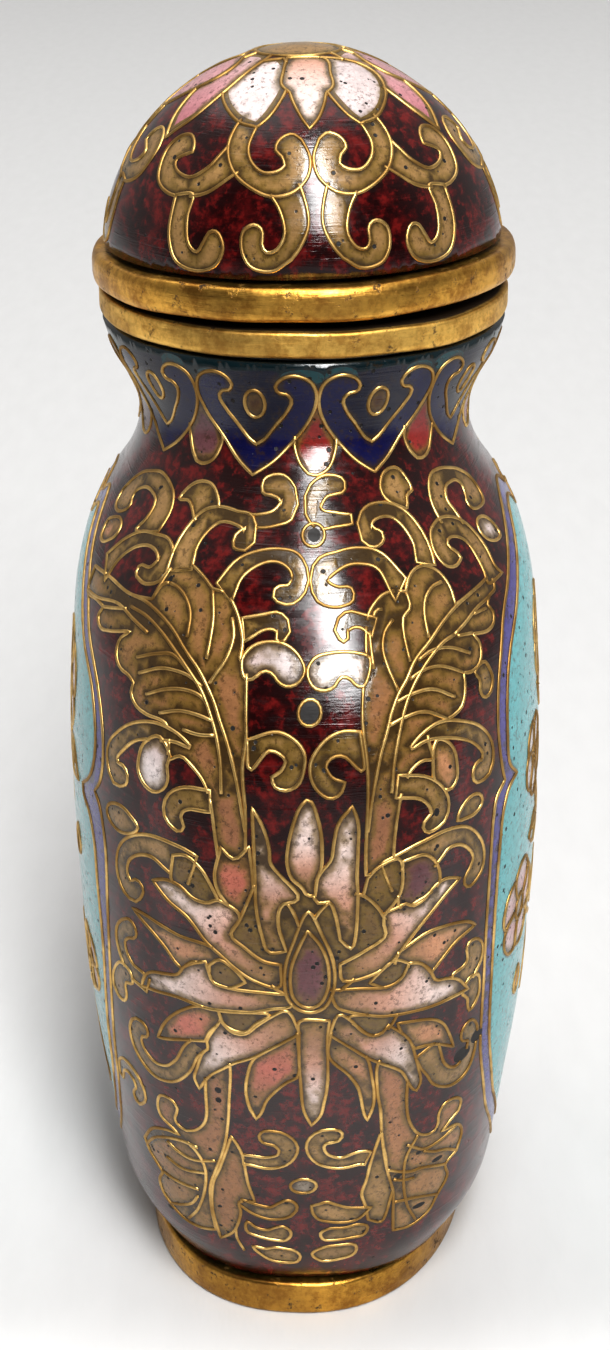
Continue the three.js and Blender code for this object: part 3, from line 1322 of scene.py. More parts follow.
@dataclass
class LidBand:
    """The lid's bulging gilt rim, with the spigot under it. Lengths are in millimetres."""

    bore: float = 7.0
    spigot: float = 8.0
    depth: float = 1.9
    reach: float = 11.55
    bulge: float = 0.55
    height: float = 1.9
    fullness: float = 0.7

    def ring(self, dome: DomeShell) -> MetalRing:
        """Shape the rim, tilted with the lid's dome."""
        half, turns = self.height / 2, np.linspace(-1.5707, 1.5707, 15)
        swell = [(self.reach + self.bulge * math.cos(turn) ** self.fullness,
                  half + half * math.copysign(abs(math.sin(turn)) ** self.fullness, turn)) for turn in turns]
        outline = ((self.bore, -self.depth), (self.spigot, -self.depth), (self.spigot, 0), *swell,
                   (self.bore, self.height))
        # Painted shade on the spigot and the rim's underside, and on its top under the dome.
        shaded_boxes = (((6, -3), (11.6, 0.1)), ((6, self.height - 0.1), (11.4, self.height + 0.2)))
        return MetalRing("lid_band", outline, 0.0, {0.12: (0, 1, 2, 18)}, 2.6, dome=dome, shaded_boxes=shaded_boxes)


@dataclass
class FootRing:
    """The oval foot, soldered on a little turned and off centre. Lengths are in millimetres."""

    thin: float = 10.3
    wide: float = 16.4
    height: float = 2.2
    wall: float = 1.7
    power: float = 2.3
    turn: float = math.radians(-5)
    shift: float = 0.3
    edge: float = 0.26
    ripples: Point = (0.035, 0.025)
    steps: int = 176

    def build(self, metal: bpy.types.Material) -> bpy.types.Object:
        """Extrude a band between two ovals and round its edges.

        Args:
            metal: The foot's metal.

        Returns:
            The foot.
        """
        bm = bmesh.new()
        outer, inner = (bmesh.ops.create_circle(bm, segments=self.steps, radius=1)["verts"] for _ in range(2))
        for ring, inset in ((outer, 0.0), (inner, self.wall)):
            for vertex in ring:
                vertex.co = self.oval(vertex.co, inset)
        edges = {edge for vertex in outer + inner for edge in vertex.link_edges}
        floor = bmesh.ops.bridge_loops(bm, edges=list(edges))["faces"]
        raised = bmesh.ops.extrude_face_region(bm, geom=floor)["geom"]
        points = [item for item in raised if isinstance(item, bmesh.types.BMVert)]
        bmesh.ops.translate(bm, verts=points, vec=(0, 0, self.height * MM))
        bmesh.ops.recalc_face_normals(bm, faces=bm.faces)
        sharp = [edge for edge in bm.edges if len(edge.link_faces) == 2 and edge.calc_face_angle() > 1.0]
        bmesh.ops.bevel(bm, geom=sharp, offset=self.edge * MM, segments=4, affect="EDGES", profile=0.5,
                        material=-1)
        for vertex in bm.verts:
            angle = math.atan2(vertex.co.y, vertex.co.x)
            uneven = self.ripples[0] * math.sin(5 * angle + 1) + self.ripples[1] * math.sin(12 * angle + 2.2)
            vertex.co.z += uneven * MM * (vertex.co.z / MM / self.height)
        bmesh.ops.rotate(bm, verts=bm.verts, matrix=Matrix.Rotation(self.turn, 3, "Z"))
        bmesh.ops.translate(bm, verts=bm.verts, vec=(0, self.shift * MM, 0))
        return mesh_object("foot_band", bm, metal)

    def oval(self, direction: Vector, inset: float) -> Vector:
        """The squared oval's point in a direction, set in from its edge."""
        share = 2 / self.power
        x = math.copysign(abs(direction.x) ** share, direction.x) * (self.wide - inset)
        y = math.copysign(abs(direction.y) ** share, direction.y) * (self.thin - inset)
        return Vector((x * MM, y * MM, 0))


# The drawings


@dataclass
class LotusLeft:
    """The left half of the lotus panel: scrolls, acanthus, petals and stem."""

    drawing: Drawing

    def draw(self) -> None:
        """Draw all but the petals, from the leaf to the scrolls over it."""
        self.leaf()
        self.scrolls()
        self.collar_scrolls()
        self.stem()
        self.foot()

    def leaf(self) -> None:
        """The acanthus leaf on its stem, with its veins."""
        d = self.drawing
        d.cell(Tone.LEAF, [(-19, 46.3), (-16, 46.5), (-13, 46.4), (-11, 46.6)],
               [(-10.3, 48.2), (-9, 48.5), (-7.8, 48.2), (-6.7, 47.7)],
               [(-5.7, 47.6), (-4.9, 47), (-4.4, 46.3), (-4.1, 45.5), (-4.1, 44.7), (-3.7, 44.7)],
               [(-3.5, 43), (-3.4, 42), (-3.35, 41), (-3.5, 39.5), (-3.3, 37), (-3.3, 33.5)], [(-4.6, 33.5)],
               [(-4.9, 35.5), (-5.2, 37.5), (-5.6, 38.5), (-6.3, 39.2), (-7, 39.6), (-7.8, 39.2)],
               [(-8, 41), (-9.6, 41.2), (-10.4, 41.4), (-10.9, 41.9), (-10.8, 42.5)],
               [(-11.3, 42.75), (-12.2, 42.9), (-12.8, 43.4), (-12.8, 44.2), (-12, 44.8)],
               [(-12.5, 44.7), (-14, 44.3), (-15.4, 44.1), (-16, 44.5), (-15.6, 45.1)],
               [(-17, 45.1), (-19, 45)], root=(-4.5, 36), tip=(-12, 46))
        d.wire([(-19, 45), (-17, 45.2), (-14, 45.7), (-12, 45.4), (-10.5, 45.1)],
               [(-11, 46.6), (-10.5, 47.4), (-9.7, 47.5), (-8.6, 47.2), (-7.8, 46.5), (-7.6, 45.4)],
               [(-6.7, 47.7), (-6.2, 46.5), (-6.1, 45.6), (-6.1, 44.6)],
               [(-5, 46.6), (-4.7, 45.8), (-4.9, 44.8), (-5.4, 44), (-5.7, 43.5)],
               [(-13, 46.4), (-11.5, 46.4), (-10, 46.1), (-8.7, 45.6), (-7.5, 44.8), (-6.5, 44.1), (-6, 43.6),
                (-5.3, 42.7), (-4.8, 41.7), (-4.3, 40.5), (-3.9, 39.2), (-3.6, 37.8), (-3.3, 36)],
               [(-12.6, 45.9), (-11, 45.8), (-9.6, 45.4), (-8.2, 44.7), (-7, 43.9), (-6.1, 43.1),
                (-5.5, 42.2), (-5, 41), (-4.7, 39.6), (-4.6, 38)], [(-10.9, 43.8), (-9.5, 44.3), (-8.3, 44.5),
                (-7, 43.9)], [(-10.5, 43.1), (-9, 43.7), (-8, 43.8), (-7, 43.7), (-6.1, 43.3)],
               [(-9.7, 42.2), (-8.3, 42.8), (-7, 43), (-6, 42.8), (-5.5, 42.3)],
               [(-8.6, 41.5), (-7.3, 41.9), (-6.2, 41.9), (-5.2, 41.7)], [(-7, 41), (-6, 40.9), (-5.1, 41)],
               [(-15.6, 45.1), (-14.3, 45.4), (-13, 45.7)])

    def collar_scrolls(self) -> None:
        """The scrolls that curl under the neck, down to the small gold ring."""
        d = self.drawing
        d.curl((-6.3, 50.8, .3), (-4.5, 50.7, .55), (-3, 50.95, .75), (-2.1, 51.5, 1.4), (-2.7, 52.1, 1.1),
               (-3.7, 52.25, .9), (-4.3, 52.2, .75))
        d.bean((-12.6, 50.9), (-11.8, 51.6), (-10.5, 51.95), (-9.2, 51.8), (-8.2, 51), (-8.6, 50.6),
               (-10, 50.25), (-10.7, 50.65), (-11.4, 50.95))
        d.curl((-9.7, 48.1, 2), (-9.85, 49.2, 1.9), (-9.3, 50.1, 1.4), (-7.9, 50.72, .7), (-6.3, 50.72, .55),
               (-5.3, 50.55, .8), (-5, 50.05, 1.1), (-5.8, 49.82, .75))
        d.curl((-5.9, 47.6, 1.5), (-5.3, 48.6, 1), (-4, 49.2, .6), (-2.5, 49.35, .55), (-1.3, 49, .9),
               (-.95, 48.35, 1.15), (-1.5, 47.75, .9), (-2.3, 47.75, .7))
        d.curl((-4.2, 46.1, 1.1), (-3, 46.5, .7), (-2.2, 46.55, .8), (-1.75, 46.2, .8), (-1.9, 45.9, .6))
        d.loop(Tone.WHITE, [(-4, 44.8), (-3.5, 45.4), (-2.5, 45.65), (-1.5, 45.5), (-.75, 45), (-.4, 44.35),
                (-.7, 43.8), (-1.3, 43.6), (-1.8, 43.8), (-2.2, 44.2), (-2.7, 44.3), (-3.3, 43.9),
                (-3.7, 43.9)], root=(-3.9, 44.2), tip=(-.8, 44.3))
        d.cell(Tone.TAN, [(-3.3, 40.95), (-1.7, 41.4), (-.7, 40.95), (-.25, 40.3), (-.3, 39.4), (-.6, 38.7),
                (-1.2, 38.4), (-1.8, 38.6), (-1.95, 39.1)], [(-1.5, 39.4), (-1.25, 40), (-2.1, 40.45),
                (-3.1, 39.4)])

    def scrolls(self) -> None:
        """The scrolls between the leaf and the panel's border."""
        d = self.drawing
        d.cell(Tone.TAN, [(-13.2, 49.3), (-13, 50.3), (-13.4, 50.9), (-14.3, 51.3), (-16.2, 51.6),
                (-18, 51.4), (-19.8, 51), (-21.3, 50.3), (-22, 49.6), (-21.6, 49.1), (-20.5, 48.9),
                (-19.4, 49.1), (-18.7, 49.5), (-19.3, 49.9), (-19.1, 50.2), (-17.9, 50.6), (-16.4, 50.6),
                (-15.5, 50.4), (-15.3, 50.1), (-15.4, 49.5), (-15.9, 48.9)])
        d.loop(Tone.PEACH, [(-20.8, 47.6), (-21.1, 48.2), (-20.2, 48.6), (-19, 48.8), (-18.2, 48.6),
                (-18.1, 48.2), (-18.9, 47.7), (-19.9, 47.4)])
        d.curl((-17.3, 46.7, 1.7), (-16.4, 47.8, 1.1), (-15, 48.6, .75), (-13.2, 48.9, .55),
               (-11.8, 48.75, .9), (-11.2, 48.15, 1.4), (-12.1, 47.5, .8), (-13.2, 47.5, .55))
        d.curl((-6.5, 40.2, .15), (-7.4, 40.5, .5), (-8.7, 40.5, .9), (-10.3, 40.05, .9), (-11.5, 39.2, 1),
               (-12.4, 38.1, 1.15), (-12, 37.15, 1.4), (-11.4, 37.25, 1.2))
        d.loop(Tone.WHITE, [(-9.6, 39.6), (-9.9, 38.8), (-9.9, 38), (-9.4, 37.4), (-8.7, 37.2), (-8, 37.6),
                (-7.75, 38.2), (-7.85, 38.9), (-7.7, 39.5), (-8.5, 40.3)], root=(-8.3, 40.1), tip=(-9, 38.4))
        d.curl((-5.2, 37.5, 1.2), (-6.6, 37.4, 1.2), (-7.3, 36.9, 1.2), (-7.4, 36.2, 1.1), (-7.1, 35.8, .8))
        d.bean((-9.9, 34.7), (-10.6, 35.2), (-11.3, 35.4), (-12.3, 35.2), (-12.95, 34.7), (-12.9, 34.2),
               (-12.3, 33.85), (-11.4, 33.8), (-10.2, 34.3))
        d.curl((-6.2, 33.3, 1.9), (-7.2, 33.6, 1.9), (-8.8, 33.95, 1.3), (-10.2, 33.5, 1.1),
               (-11.2, 32.6, 1.05), (-11.5, 31.5, 1.1), (-11.1, 30.65, 1.25), (-10.5, 30.5, 1.2),
               (-10.1, 30.9, 1))
        d.curl((-9.7, 24.6, 1.1), (-10.2, 24.75, 1.1), (-11.2, 24.95, 1.1), (-11.95, 25.8, 1),
               (-12.1, 26.8, 1), (-11.6, 27.5, 1.1), (-11, 27.85, 1.2))
        d.bean((-11.2, 24), (-12, 23.6), (-12, 22.8), (-12.3, 22.2), (-13, 22.1), (-13.6, 22.6),
               (-13.6, 23.3), (-13.1, 24.2), (-12.3, 24.9), (-11.3, 24.7))
        d.curl((-6.4, 21.6, 1), (-6.9, 21, 1), (-7.6, 19.6, 1.1), (-8.6, 18.6, 1.15), (-9.9, 18.35, 1.2),
               (-11.1, 19.1, 1.2), (-11.5, 20.1, 1.2), (-11.1, 20.9, 1.2), (-10.7, 21, 1.1))

    def stem(self) -> None:
        """The stem under the flower with its small scrolls."""
        d = self.drawing
        d.cell(Tone.LEAF, [(-5.9, 21.5), (-6.1, 18.3), (-6.15, 16.2), (-6.4, 15.4), (-7, 14.7),
                (-7.7, 14.35)], [(-8.3, 14.5), (-8.6, 14.9), (-8.4, 15.5), (-8.3, 16), (-8.6, 16.4),
                (-9.1, 16.5), (-9.7, 16.3), (-10.05, 15.2), (-9.8, 14.5), (-9, 14.1), (-8.4, 13.7)],
               [(-9.4, 13.6), (-11, 12.9), (-12.3, 11.4)], [(-11.9, 10.5), (-11.2, 9.9), (-10.6, 9.4)],
               [(-11.2, 8.4), (-11, 7.4), (-10.2, 6.7)], [(-9, 6.1), (-7.5, 6), (-6.3, 6.3)],
               [(-6.4, 8.4), (-6.3, 10.2), (-5.7, 12), (-5.2, 13.5), (-4.9, 14.9), (-4.65, 17.5),
                (-4.75, 21.5)], root=(-5.5, 20), tip=(-9, 7))
        d.wire([(-12.1, 11), (-11, 12.1), (-10, 12.7), (-9, 13.1), (-8, 13.3), (-7, 13.2)],
               [(-9.6, 12.6), (-8.8, 12.2), (-7.5, 12), (-5.8, 12.5)],
               [(-9.9, 11.1), (-8.5, 10.8), (-6.5, 11.2)], [(-10.6, 9.5), (-9.4, 9.4), (-7.3, 9.5)],
               [(-10.2, 6.9), (-9, 7.4), (-8, 8), (-7.4, 8.9)], [(-7.8, 13.4), (-7.1, 12.8), (-6.6, 11.6),
                (-6.8, 9.6), (-7.6, 7.6), (-8.6, 6.4)])
        d.curl((-14.4, 15.2, .5), (-14, 16.3, .8), (-13, 16.7, .9), (-12, 16.2, 1), (-11.8, 15.3, 1.1),
               (-12.3, 14.7, 1))

    def foot(self) -> None:
        """The scrolls above the foot."""
        d = self.drawing
        d.cell(Tone.LEAF, [(-4.6, 14.9), (-4.2, 14.2), (-3.9, 13.3), (-3.75, 12), (-3.6, 11), (-3.2, 9.6)],
               [(-4.3, 9.3), (-4.2, 8.5), (-4.4, 7.6), (-4.9, 6.5), (-6, 5.6)],
               [(-6.3, 8), (-6.1, 10.4), (-5.5, 12), (-5, 13.5)])
        d.curl((-3.9, 13.1, .8), (-3.4, 13.1, .8), (-2.3, 13, .95), (-1.3, 13.4, 1), (-1.05, 14.3, 1.2),
               (-1.6, 15, 1.2), (-2.3, 15.15, 1.1))
        d.curl((-4.2, 9.4, .5), (-3.2, 8.9, .9), (-2.1, 8.65, 1.1), (-1.2, 9, 1.4), (-1, 9.2, 1.3))
        d.bean((-3.8, 7.7), (-3.2, 7.25), (-2.4, 7.1), (-1.8, 7.4), (-1.3, 7.5), (-.8, 7.1), (-.8, 6.6),
               (-1.2, 6.2), (-2, 6.2), (-3, 6.4), (-3.9, 6.8))
        d.bean((-3.6, 5.4), (-2.6, 5.3), (-2, 5.5), (-1.2, 5.4), (-.5, 5.2), (-.15, 4.7), (-.3, 4.2),
               (-.9, 4), (-2.4, 4.2))
        d.wire([(-4.7, 6.8), (-4.7, 6), (-4.3, 4.9)])

    def petals(self) -> None:
        """The petals, the ones behind first."""
        d = self.drawing
        d.cell(Tone.OLIVE, [(-7.4, 33.9), (-6.6, 34.1), (-5.7, 33.5), (-5.2, 32.7), (-4.4, 31)],
               [(-6, 31.2), (-6.9, 32), (-7.5, 32.3)])
        d.cell(Tone.CORAL, [(-4.6, 35), (-4.95, 33.2), (-4.7, 32.2), (-3.8, 31.1)],
               [(-3, 31.1), (-2.9, 33), (-3.1, 35.2)], [(-3.9, 34.4)], root=(-3.8, 31), tip=(-4, 35.2))
        d.cell(Tone.OLIVE, [(-2.8, 33), (-3.6, 30.8), (-4.2, 29.4), (-3.4, 28)],
               [(-1, 26), (-.3, 29), (-1.2, 32)])
        d.cell(Tone.PETAL, [(-2.95, 37.4), (-2.5, 36.6), (-2.2, 35.8), (-2.05, 35), (-2, 34.3), (-1.5, 33.6),
                (-.75, 32.7), (-.55, 32.3), (-.8, 32), (-1.3, 31.9), (-1.55, 31.5), (-1.6, 30.5),
                (-1.2, 28.9)], [(-2.1, 28.8), (-2.5, 30), (-2.75, 31.5), (-2.8, 33), (-2.85, 35)],
               root=(-1.7, 29.5), tip=(-2.3, 34.5))
        d.cell(Tone.PEACH, [(-10.6, 29.4), (-9.5, 29.4), (-8.3, 29.2), (-7.1, 28.95), (-5.4, 28.8),
                (-3.6, 28)], [(-4.2, 27.3), (-5.4, 27.4), (-6.3, 27.5), (-7.1, 26.8)],
               [(-7.5, 27.1), (-8.1, 27.8), (-9, 28.5), (-9.9, 29)], root=(-4, 27.8), tip=(-9.5, 29))
        d.cell(Tone.PETAL, [(-8.85, 31.9), (-7.9, 32.25), (-7, 32.15), (-6.2, 31.6), (-5.4, 31.5),
                (-4.8, 31.8), (-4.3, 31.6), (-3.7, 31.2), (-3.6, 30.8)],
               [(-4.1, 29.7), (-3.4, 29), (-2.4, 28.2), (-1.5, 28)],
               [(-1.6, 26.5), (-2.8, 26.8), (-3.6, 27.3), (-4.6, 28.2), (-5.6, 29.1), (-6.2, 29.9),
                (-6.7, 30.4), (-7.8, 31)], root=(-2.5, 27.6), tip=(-6.5, 31))
        d.cell(Tone.OLIVE, [(-5.4, 27.5), (-4.8, 28), (-3.9, 27.4), (-3.4, 26.7)],
               [(-4.3, 26.2), (-5.3, 26.4)])
        d.cell(Tone.OLIVE, [(-5, 24.5), (-4.7, 23.6), (-4, 23.2), (-3.4, 23.3), (-2.9, 23.9), (-2.1, 24.6)])
        d.cell(Tone.CORAL, [(-9.3, 21.1), (-8.7, 22.3), (-8, 23.2), (-7.1, 24), (-6.2, 24.5), (-5, 24.5)],
               [(-4.9, 23.8), (-5.6, 22.8), (-5.9, 22.1)], [(-6.7, 21.9), (-7.7, 21.6), (-8.5, 21.3)],
               root=(-5, 24.2), tip=(-9, 21.4))
        d.cell(Tone.CORAL, [(-3, 16.6), (-3.4, 17.5), (-3.6, 18.7), (-3.5, 20), (-3.1, 21.3), (-2.2, 22.1),
                (-1, 23.2), (-.65, 23.4)], [(-.65, 20.1), (-1.2, 19.7), (-1.9, 18.9), (-2.4, 18.1),
                (-2.7, 17.1)], root=(-1, 23.5), tip=(-3, 17.4))
        d.cell(Tone.PETAL, [(-6.5, 18.25), (-6.1, 19), (-5.6, 19.7), (-4.9, 20.3), (-4.3, 20.8), (-3.2, 21.4),
                (-2.2, 22.1), (-.5, 23.3)], [(-1.2, 24.9), (-2, 24.5), (-2.8, 23.8), (-3.5, 23.1),
                (-4.2, 23.1), (-4.9, 23.8)], [(-5.8, 22.1), (-5.75, 21.6), (-6.1, 21.2), (-6.6, 19.8),
                (-6.8, 19)], root=(-1.4, 24.2), tip=(-5.2, 21.2))
        d.cell(Tone.PETAL, [(-10.3, 24.3), (-9.9, 25.2), (-9.3, 25.7), (-8.3, 26), (-7.4, 26.3), (-7, 26.9),
                (-6.3, 27.4), (-5.6, 27.7)], [(-5.4, 26.9), (-5.2, 26.4), (-4.5, 26.2), (-2.4, 26.1),
                (-.9, 26)], [(-1, 25.2), (-2, 25), (-3, 24.7), (-4.2, 24.6), (-5.5, 24.5), (-7.5, 24.7),
                (-9, 24.5)], root=(-1.2, 25.6), tip=(-7.5, 25.8))


@dataclass
class LotusRight:
    """The right half of the lotus panel, drawn freely to answer the left."""

    drawing: Drawing

    def draw(self) -> None:
        """Draw all but the petals, from the leaf to the scrolls over it."""
        self.leaf()
        self.scrolls()
        self.collar_scrolls()
        self.stem()
        self.foot()

    def leaf(self) -> None:
        """The acanthus leaf on its stem, with its veins."""
        d = self.drawing
        d.cell(Tone.LEAF, [(14, 46.9), (13, 46.75), (11.5, 46.6), (9.6, 46.35)],
               [(9.6, 47.1), (9.2, 47.8), (8.3, 48.3), (7.3, 48.35), (6.5, 48), (6.1, 47.5)],
               [(5.3, 47.6), (4.4, 47.5), (3.6, 47), (3.3, 46.6), (3.1, 45.2), (3.2, 44.6)],
               [(2.9, 43.5), (2.85, 42), (2.9, 41), (3, 40), (3.05, 38.6), (2.9, 35), (2.9, 33.5)],
               [(4.4, 33.5)], [(4.4, 35), (4.7, 37.3), (5, 38.3), (5.4, 39), (6.1, 39.4), (6.8, 39.3)],
               [(6.6, 40.9), (7.9, 41.2), (8.4, 41.3), (9, 41.6), (9.3, 42.3), (9.3, 43.2)],
               [(10, 43.1), (10.8, 43.4), (11, 44.2), (10.5, 44.8)],
               [(12, 44.6), (12.8, 44.8), (13, 45.2), (12.6, 45.7)], [(13, 46), (14, 46.2)], root=(4, 36),
               tip=(9, 46))
        d.wire([(4.3, 46.9), (3.9, 46.9), (3.4, 46), (3.4, 45.3), (3.5, 44.3)],
               [(7.1, 45.3), (7.1, 46.4), (7.4, 47), (8.1, 47.4), (9, 47.5)],
               [(6.1, 47.5), (6.2, 46.8), (5.6, 46.4), (5.5, 45.7), (5.7, 44.4)],
               [(4.9, 46.4), (4.3, 45.9), (4.1, 45.2), (4.3, 44.4), (4.9, 43.1)],
               [(11.5, 46.6), (9.7, 46.3), (8.3, 45.8), (7.1, 45.1), (6, 44.4), (5.4, 43.6), (4.9, 43),
                (4.5, 42.2), (4.2, 41.3), (3.8, 40.2), (3.5, 39), (3.2, 37.5), (3, 36)],
               [(9, 45.1), (10, 45.4), (11.3, 45.8), (13, 46)], [(9, 45.1), (8, 44.9), (6.9, 44.3), (6, 43.5),
                (5.4, 42.6), (4.9, 41.2), (4.5, 39.6), (4.3, 38)], [(10.5, 44.85), (9.2, 45)],
               [(6.2, 44.4), (7.2, 44.7), (8.5, 44.6), (10, 44)], [(5.6, 43.6), (6.5, 43.9), (7.6, 43.9),
                (8.7, 43.5), (9.3, 43.2)], [(4.7, 42.6), (5.8, 42.9), (7, 42.9), (8.5, 42.2)],
               [(4.3, 41.5), (5.2, 41.8), (6.4, 41.9), (7.9, 41.2)], [(12.3, 45.6), (11, 45.65)])

    def collar_scrolls(self) -> None:
        """The scrolls that curl under the neck, down to the small gold ring."""
        d = self.drawing
        d.curl((3, 50.75, .4), (1.6, 50.8, .6), (.3, 50.9, .9), (-.2, 51.5, 1.4), (.7, 52.15, 1),
               (1.8, 52.25, .8), (2.4, 52.2, .65))
        d.bean((6.1, 52.1), (6.5, 52.45), (7.5, 52.65), (8.5, 52.4), (9.25, 51.5), (8.5, 51.3), (8.2, 50.8),
               (7.5, 50.95), (6.3, 51.4), (6, 51.8))
        d.curl((8.2, 48.4, 1.5), (8.35, 49.3, 1.3), (7.9, 50.1, 1), (6.9, 50.75, .65), (5.6, 50.98, .6),
               (4.4, 50.8, .8), (3.95, 50.3, 1.2), (4.6, 49.9, .8), (5.1, 49.9, .55))
        d.curl((5.8, 47.6, 1.4), (4.7, 48.9, .8), (3.2, 49.25, .65), (1.8, 49.15, .7), (.35, 48.6, 1.15),
               (.45, 47.95, 1.1), (1.4, 47.6, .9), (2.2, 47.65, .75))
        d.curl((3.7, 46.15, .9), (2.9, 46.5, .6), (2.1, 46.55, .8), (1.65, 46.2, .8), (1.8, 45.9, .6))
        d.loop(Tone.WHITE, [(3.3, 44.8), (2.5, 45.1), (1.2, 45.15), (.1, 44.9), (-.25, 44.3), (.1, 43.6),
                (.8, 43.4), (1.3, 43.6), (1.6, 44), (2.1, 43.95), (2.5, 43.6), (2.9, 43.5)], root=(3.2, 44),
               tip=(.3, 44.2))
        d.cell(Tone.TAN, [(2.7, 41.35), (1.8, 41.4), (1, 41.1), (.4, 40.5), (.05, 39.8), (.1, 39), (.5, 38.3),
                (1.1, 37.95), (1.6, 38.2), (1.85, 38.8)], [(1.2, 39.05), (.95, 39.4), (.85, 39.7),
                (1.2, 40.1), (1.8, 40.15), (2.8, 39.3)])

    def scrolls(self) -> None:
        """The scrolls between the leaf and the panel's border."""
        d = self.drawing
        d.cell(Tone.TAN, [(11.2, 49.7), (11, 50.7), (11.3, 51.3), (12, 51.8), (13.3, 51.9), (15.1, 51.7),
                (16.9, 51.3), (18.5, 50.6), (19, 49.9), (18.6, 49.5), (17.3, 49.4), (15.9, 49.6),
                (15.6, 49.9), (16, 50.2), (16.2, 50.6), (15.6, 51), (14.4, 51.1), (13.5, 51), (13, 50.5),
                (13.4, 49.9), (13.6, 49)])
        d.loop(Tone.WHITE, [(15.3, 48.9), (16, 49.1), (17.2, 48.9), (17.9, 48.4), (18.1, 47.9), (17, 47.8),
                (15.6, 48.2), (15.2, 48.6)])
        d.cell(Tone.TAN, [(15.6, 46.5), (15, 47), (14.9, 48), (14, 49.2), (12.5, 49.8), (10.8, 49.9),
                (9.6, 49.5), (9.3, 48.8), (9.8, 48.1), (10.8, 47.9), (11.6, 48.1)],
               [(11.4, 48.4), (10.8, 48.8), (11, 49), (12, 49), (13, 48.5), (13.4, 47.1), (13.3, 46.6)])
        d.curl((5.5, 40.2, .15), (6.3, 40.6, .45), (7.4, 40.75, .85), (8.9, 40.35, .9), (10.1, 39.7, .95),
               (10.9, 38.7, 1), (10.7, 37.8, 1.25), (10.1, 37.7, 1.2))
        d.loop(Tone.PEACH, [(6.8, 39.8), (6.75, 39), (6.8, 38.2), (7.3, 37.6), (7.9, 37.45), (8.3, 37.9),
                (8.35, 38.7), (8.2, 39.5), (7.7, 40.1), (7.1, 40.3)], root=(7.6, 40.4), tip=(7.6, 36.6))
        d.curl((4.6, 38.3, 1.2), (5.2, 38.2, 1.2), (6, 38, 1.2), (6.7, 37.5, 1.2), (7.1, 36.8, 1.2),
               (7, 36.1, 1.1), (6.5, 35.8, .9))
        d.bean((8.3, 35.5), (8.5, 36), (9.2, 36.5), (9.9, 36.5), (10.3, 36.1), (10.2, 35.7), (9.6, 35.4),
               (9, 35.4))
        d.bean((10.2, 43), (10.6, 42.5), (10.55, 42), (10.9, 41.5), (11.5, 41.55), (11.85, 42.1),
               (11.6, 42.8), (11.1, 43.3))
        d.curl((4, 33.2, 1.9), (6.2, 34, 1.9), (7.6, 34.6, 1.15), (8.9, 34.35, 1), (10, 33, .95),
               (9.85, 32, 1.2), (9.4, 31.6, 1.05))
        d.cell(Tone.TAN, [(8.2, 25.2), (8.4, 25.7), (9.2, 25.9), (9.5, 26.2), (9.4, 27.2), (9.9, 27.4),
                (10.5, 27.1), (10.9, 26.5), (10.8, 25.6), (10.3, 24.9)], [(9.6, 24.3), (8.6, 24.4)])
        d.bean((10.6, 24.7), (10.9, 24), (10.9, 23.3), (10.5, 22.6), (10.1, 22.4), (9.9, 22.8), (9.8, 23.4),
               (9.3, 24), (9.8, 24.8))
        d.cell(Tone.TAN, [(6.2, 20.6), (6.7, 19.6), (7.2, 18.9), (7.7, 18.1), (8.5, 17.5), (9.5, 17.2),
                (10.6, 17.5), (11.1, 18.4), (11.2, 20), (11, 21), (10.3, 21.6), (9.6, 21.2), (9.7, 20.4),
                (10.3, 20.1)], [(10.2, 19.3), (9.6, 18.6), (8.9, 18.8), (8.3, 19.5), (8, 20.3), (7.6, 21.2)])

    def stem(self) -> None:
        """The stem under the flower, which forks, with its small scrolls."""
        d = self.drawing
        d.cell(Tone.LEAF, [(5.6, 21.5), (5.9, 18.8), (6, 17.5), (6.3, 16), (6.8, 14.9), (7.4, 14.2),
                (8.1, 13.9), (8.6, 14), (8.8, 14.5), (8.7, 15.2), (8.9, 15.8), (9.5, 16), (10.2, 15.8),
                (10.7, 15.3), (10.6, 14.6), (10, 14.2), (9.3, 13.6)],
               [(10.8, 13.4), (11.6, 12.4), (11.4, 11)], [(10.4, 10.4), (10.9, 9.2), (10.2, 8)],
               [(9.6, 6.9), (8, 6.2), (6.6, 6.3)], [(6.4, 8), (6.1, 10), (5.7, 11), (5.4, 12), (5.2, 13),
                (4.9, 14), (4.65, 15.3), (4.4, 17), (4.05, 18.6), (4, 21)], root=(5, 20), tip=(9, 7))
        d.wire([(5.4, 11.9), (6.3, 11.5), (7.2, 11.2), (8.1, 11.15), (10.4, 10.4)],
               [(6, 10.9), (6.9, 10.6), (7.6, 10.55)], [(8, 12.6), (9, 12.1), (10, 11.8), (11.4, 11)],
               [(6.6, 13.6), (8, 12.75), (9, 12.8), (10.8, 13.4)], [(6.3, 8.9), (8, 8.7), (10.2, 8)],
               [(7.3, 14.2), (6.7, 12.6), (6.8, 10.6), (7.4, 8.4), (8.4, 6.6)])
        d.cell(Tone.TAN, [(4.65, 15.3), (4.9, 14), (5.4, 12), (6.1, 10)], [(5.6, 7.4), (4.6, 7.8)],
               [(4.3, 9), (3.9, 10.2), (4.1, 11.3), (4.2, 12.5), (4.4, 13.9)])

    def foot(self) -> None:
        """The scrolls above the foot."""
        d = self.drawing
        d.curl((4, 13.2, 1.1), (3.5, 13.3, 1.1), (2.2, 13, .9), (1, 13.5, 1), (.6, 14.5, 1.1),
               (1, 15.2, 1.15), (1.7, 15.3, 1.05))
        d.cell(Tone.TAN, [(.6, 9.4), (.7, 8.8), (1.1, 8.2), (2, 7.9), (3, 7.8), (3.9, 8), (4.7, 8.9)],
               [(3.1, 9.1), (2.1, 9.5), (1.6, 9.7), (1, 9.5)])
        d.bean((1.3, 6.9), (1.9, 7.3), (2.9, 7.3), (3.9, 7.5), (4.6, 7.2), (4.4, 6.5), (3.4, 6.3), (2.2, 6.2),
               (1.5, 6.3))
        d.bean((.7, 4.9), (1.4, 5.5), (2.6, 5.7), (3.8, 5.6), (3.9, 4.8), (2.8, 4.3), (1.4, 4.2))

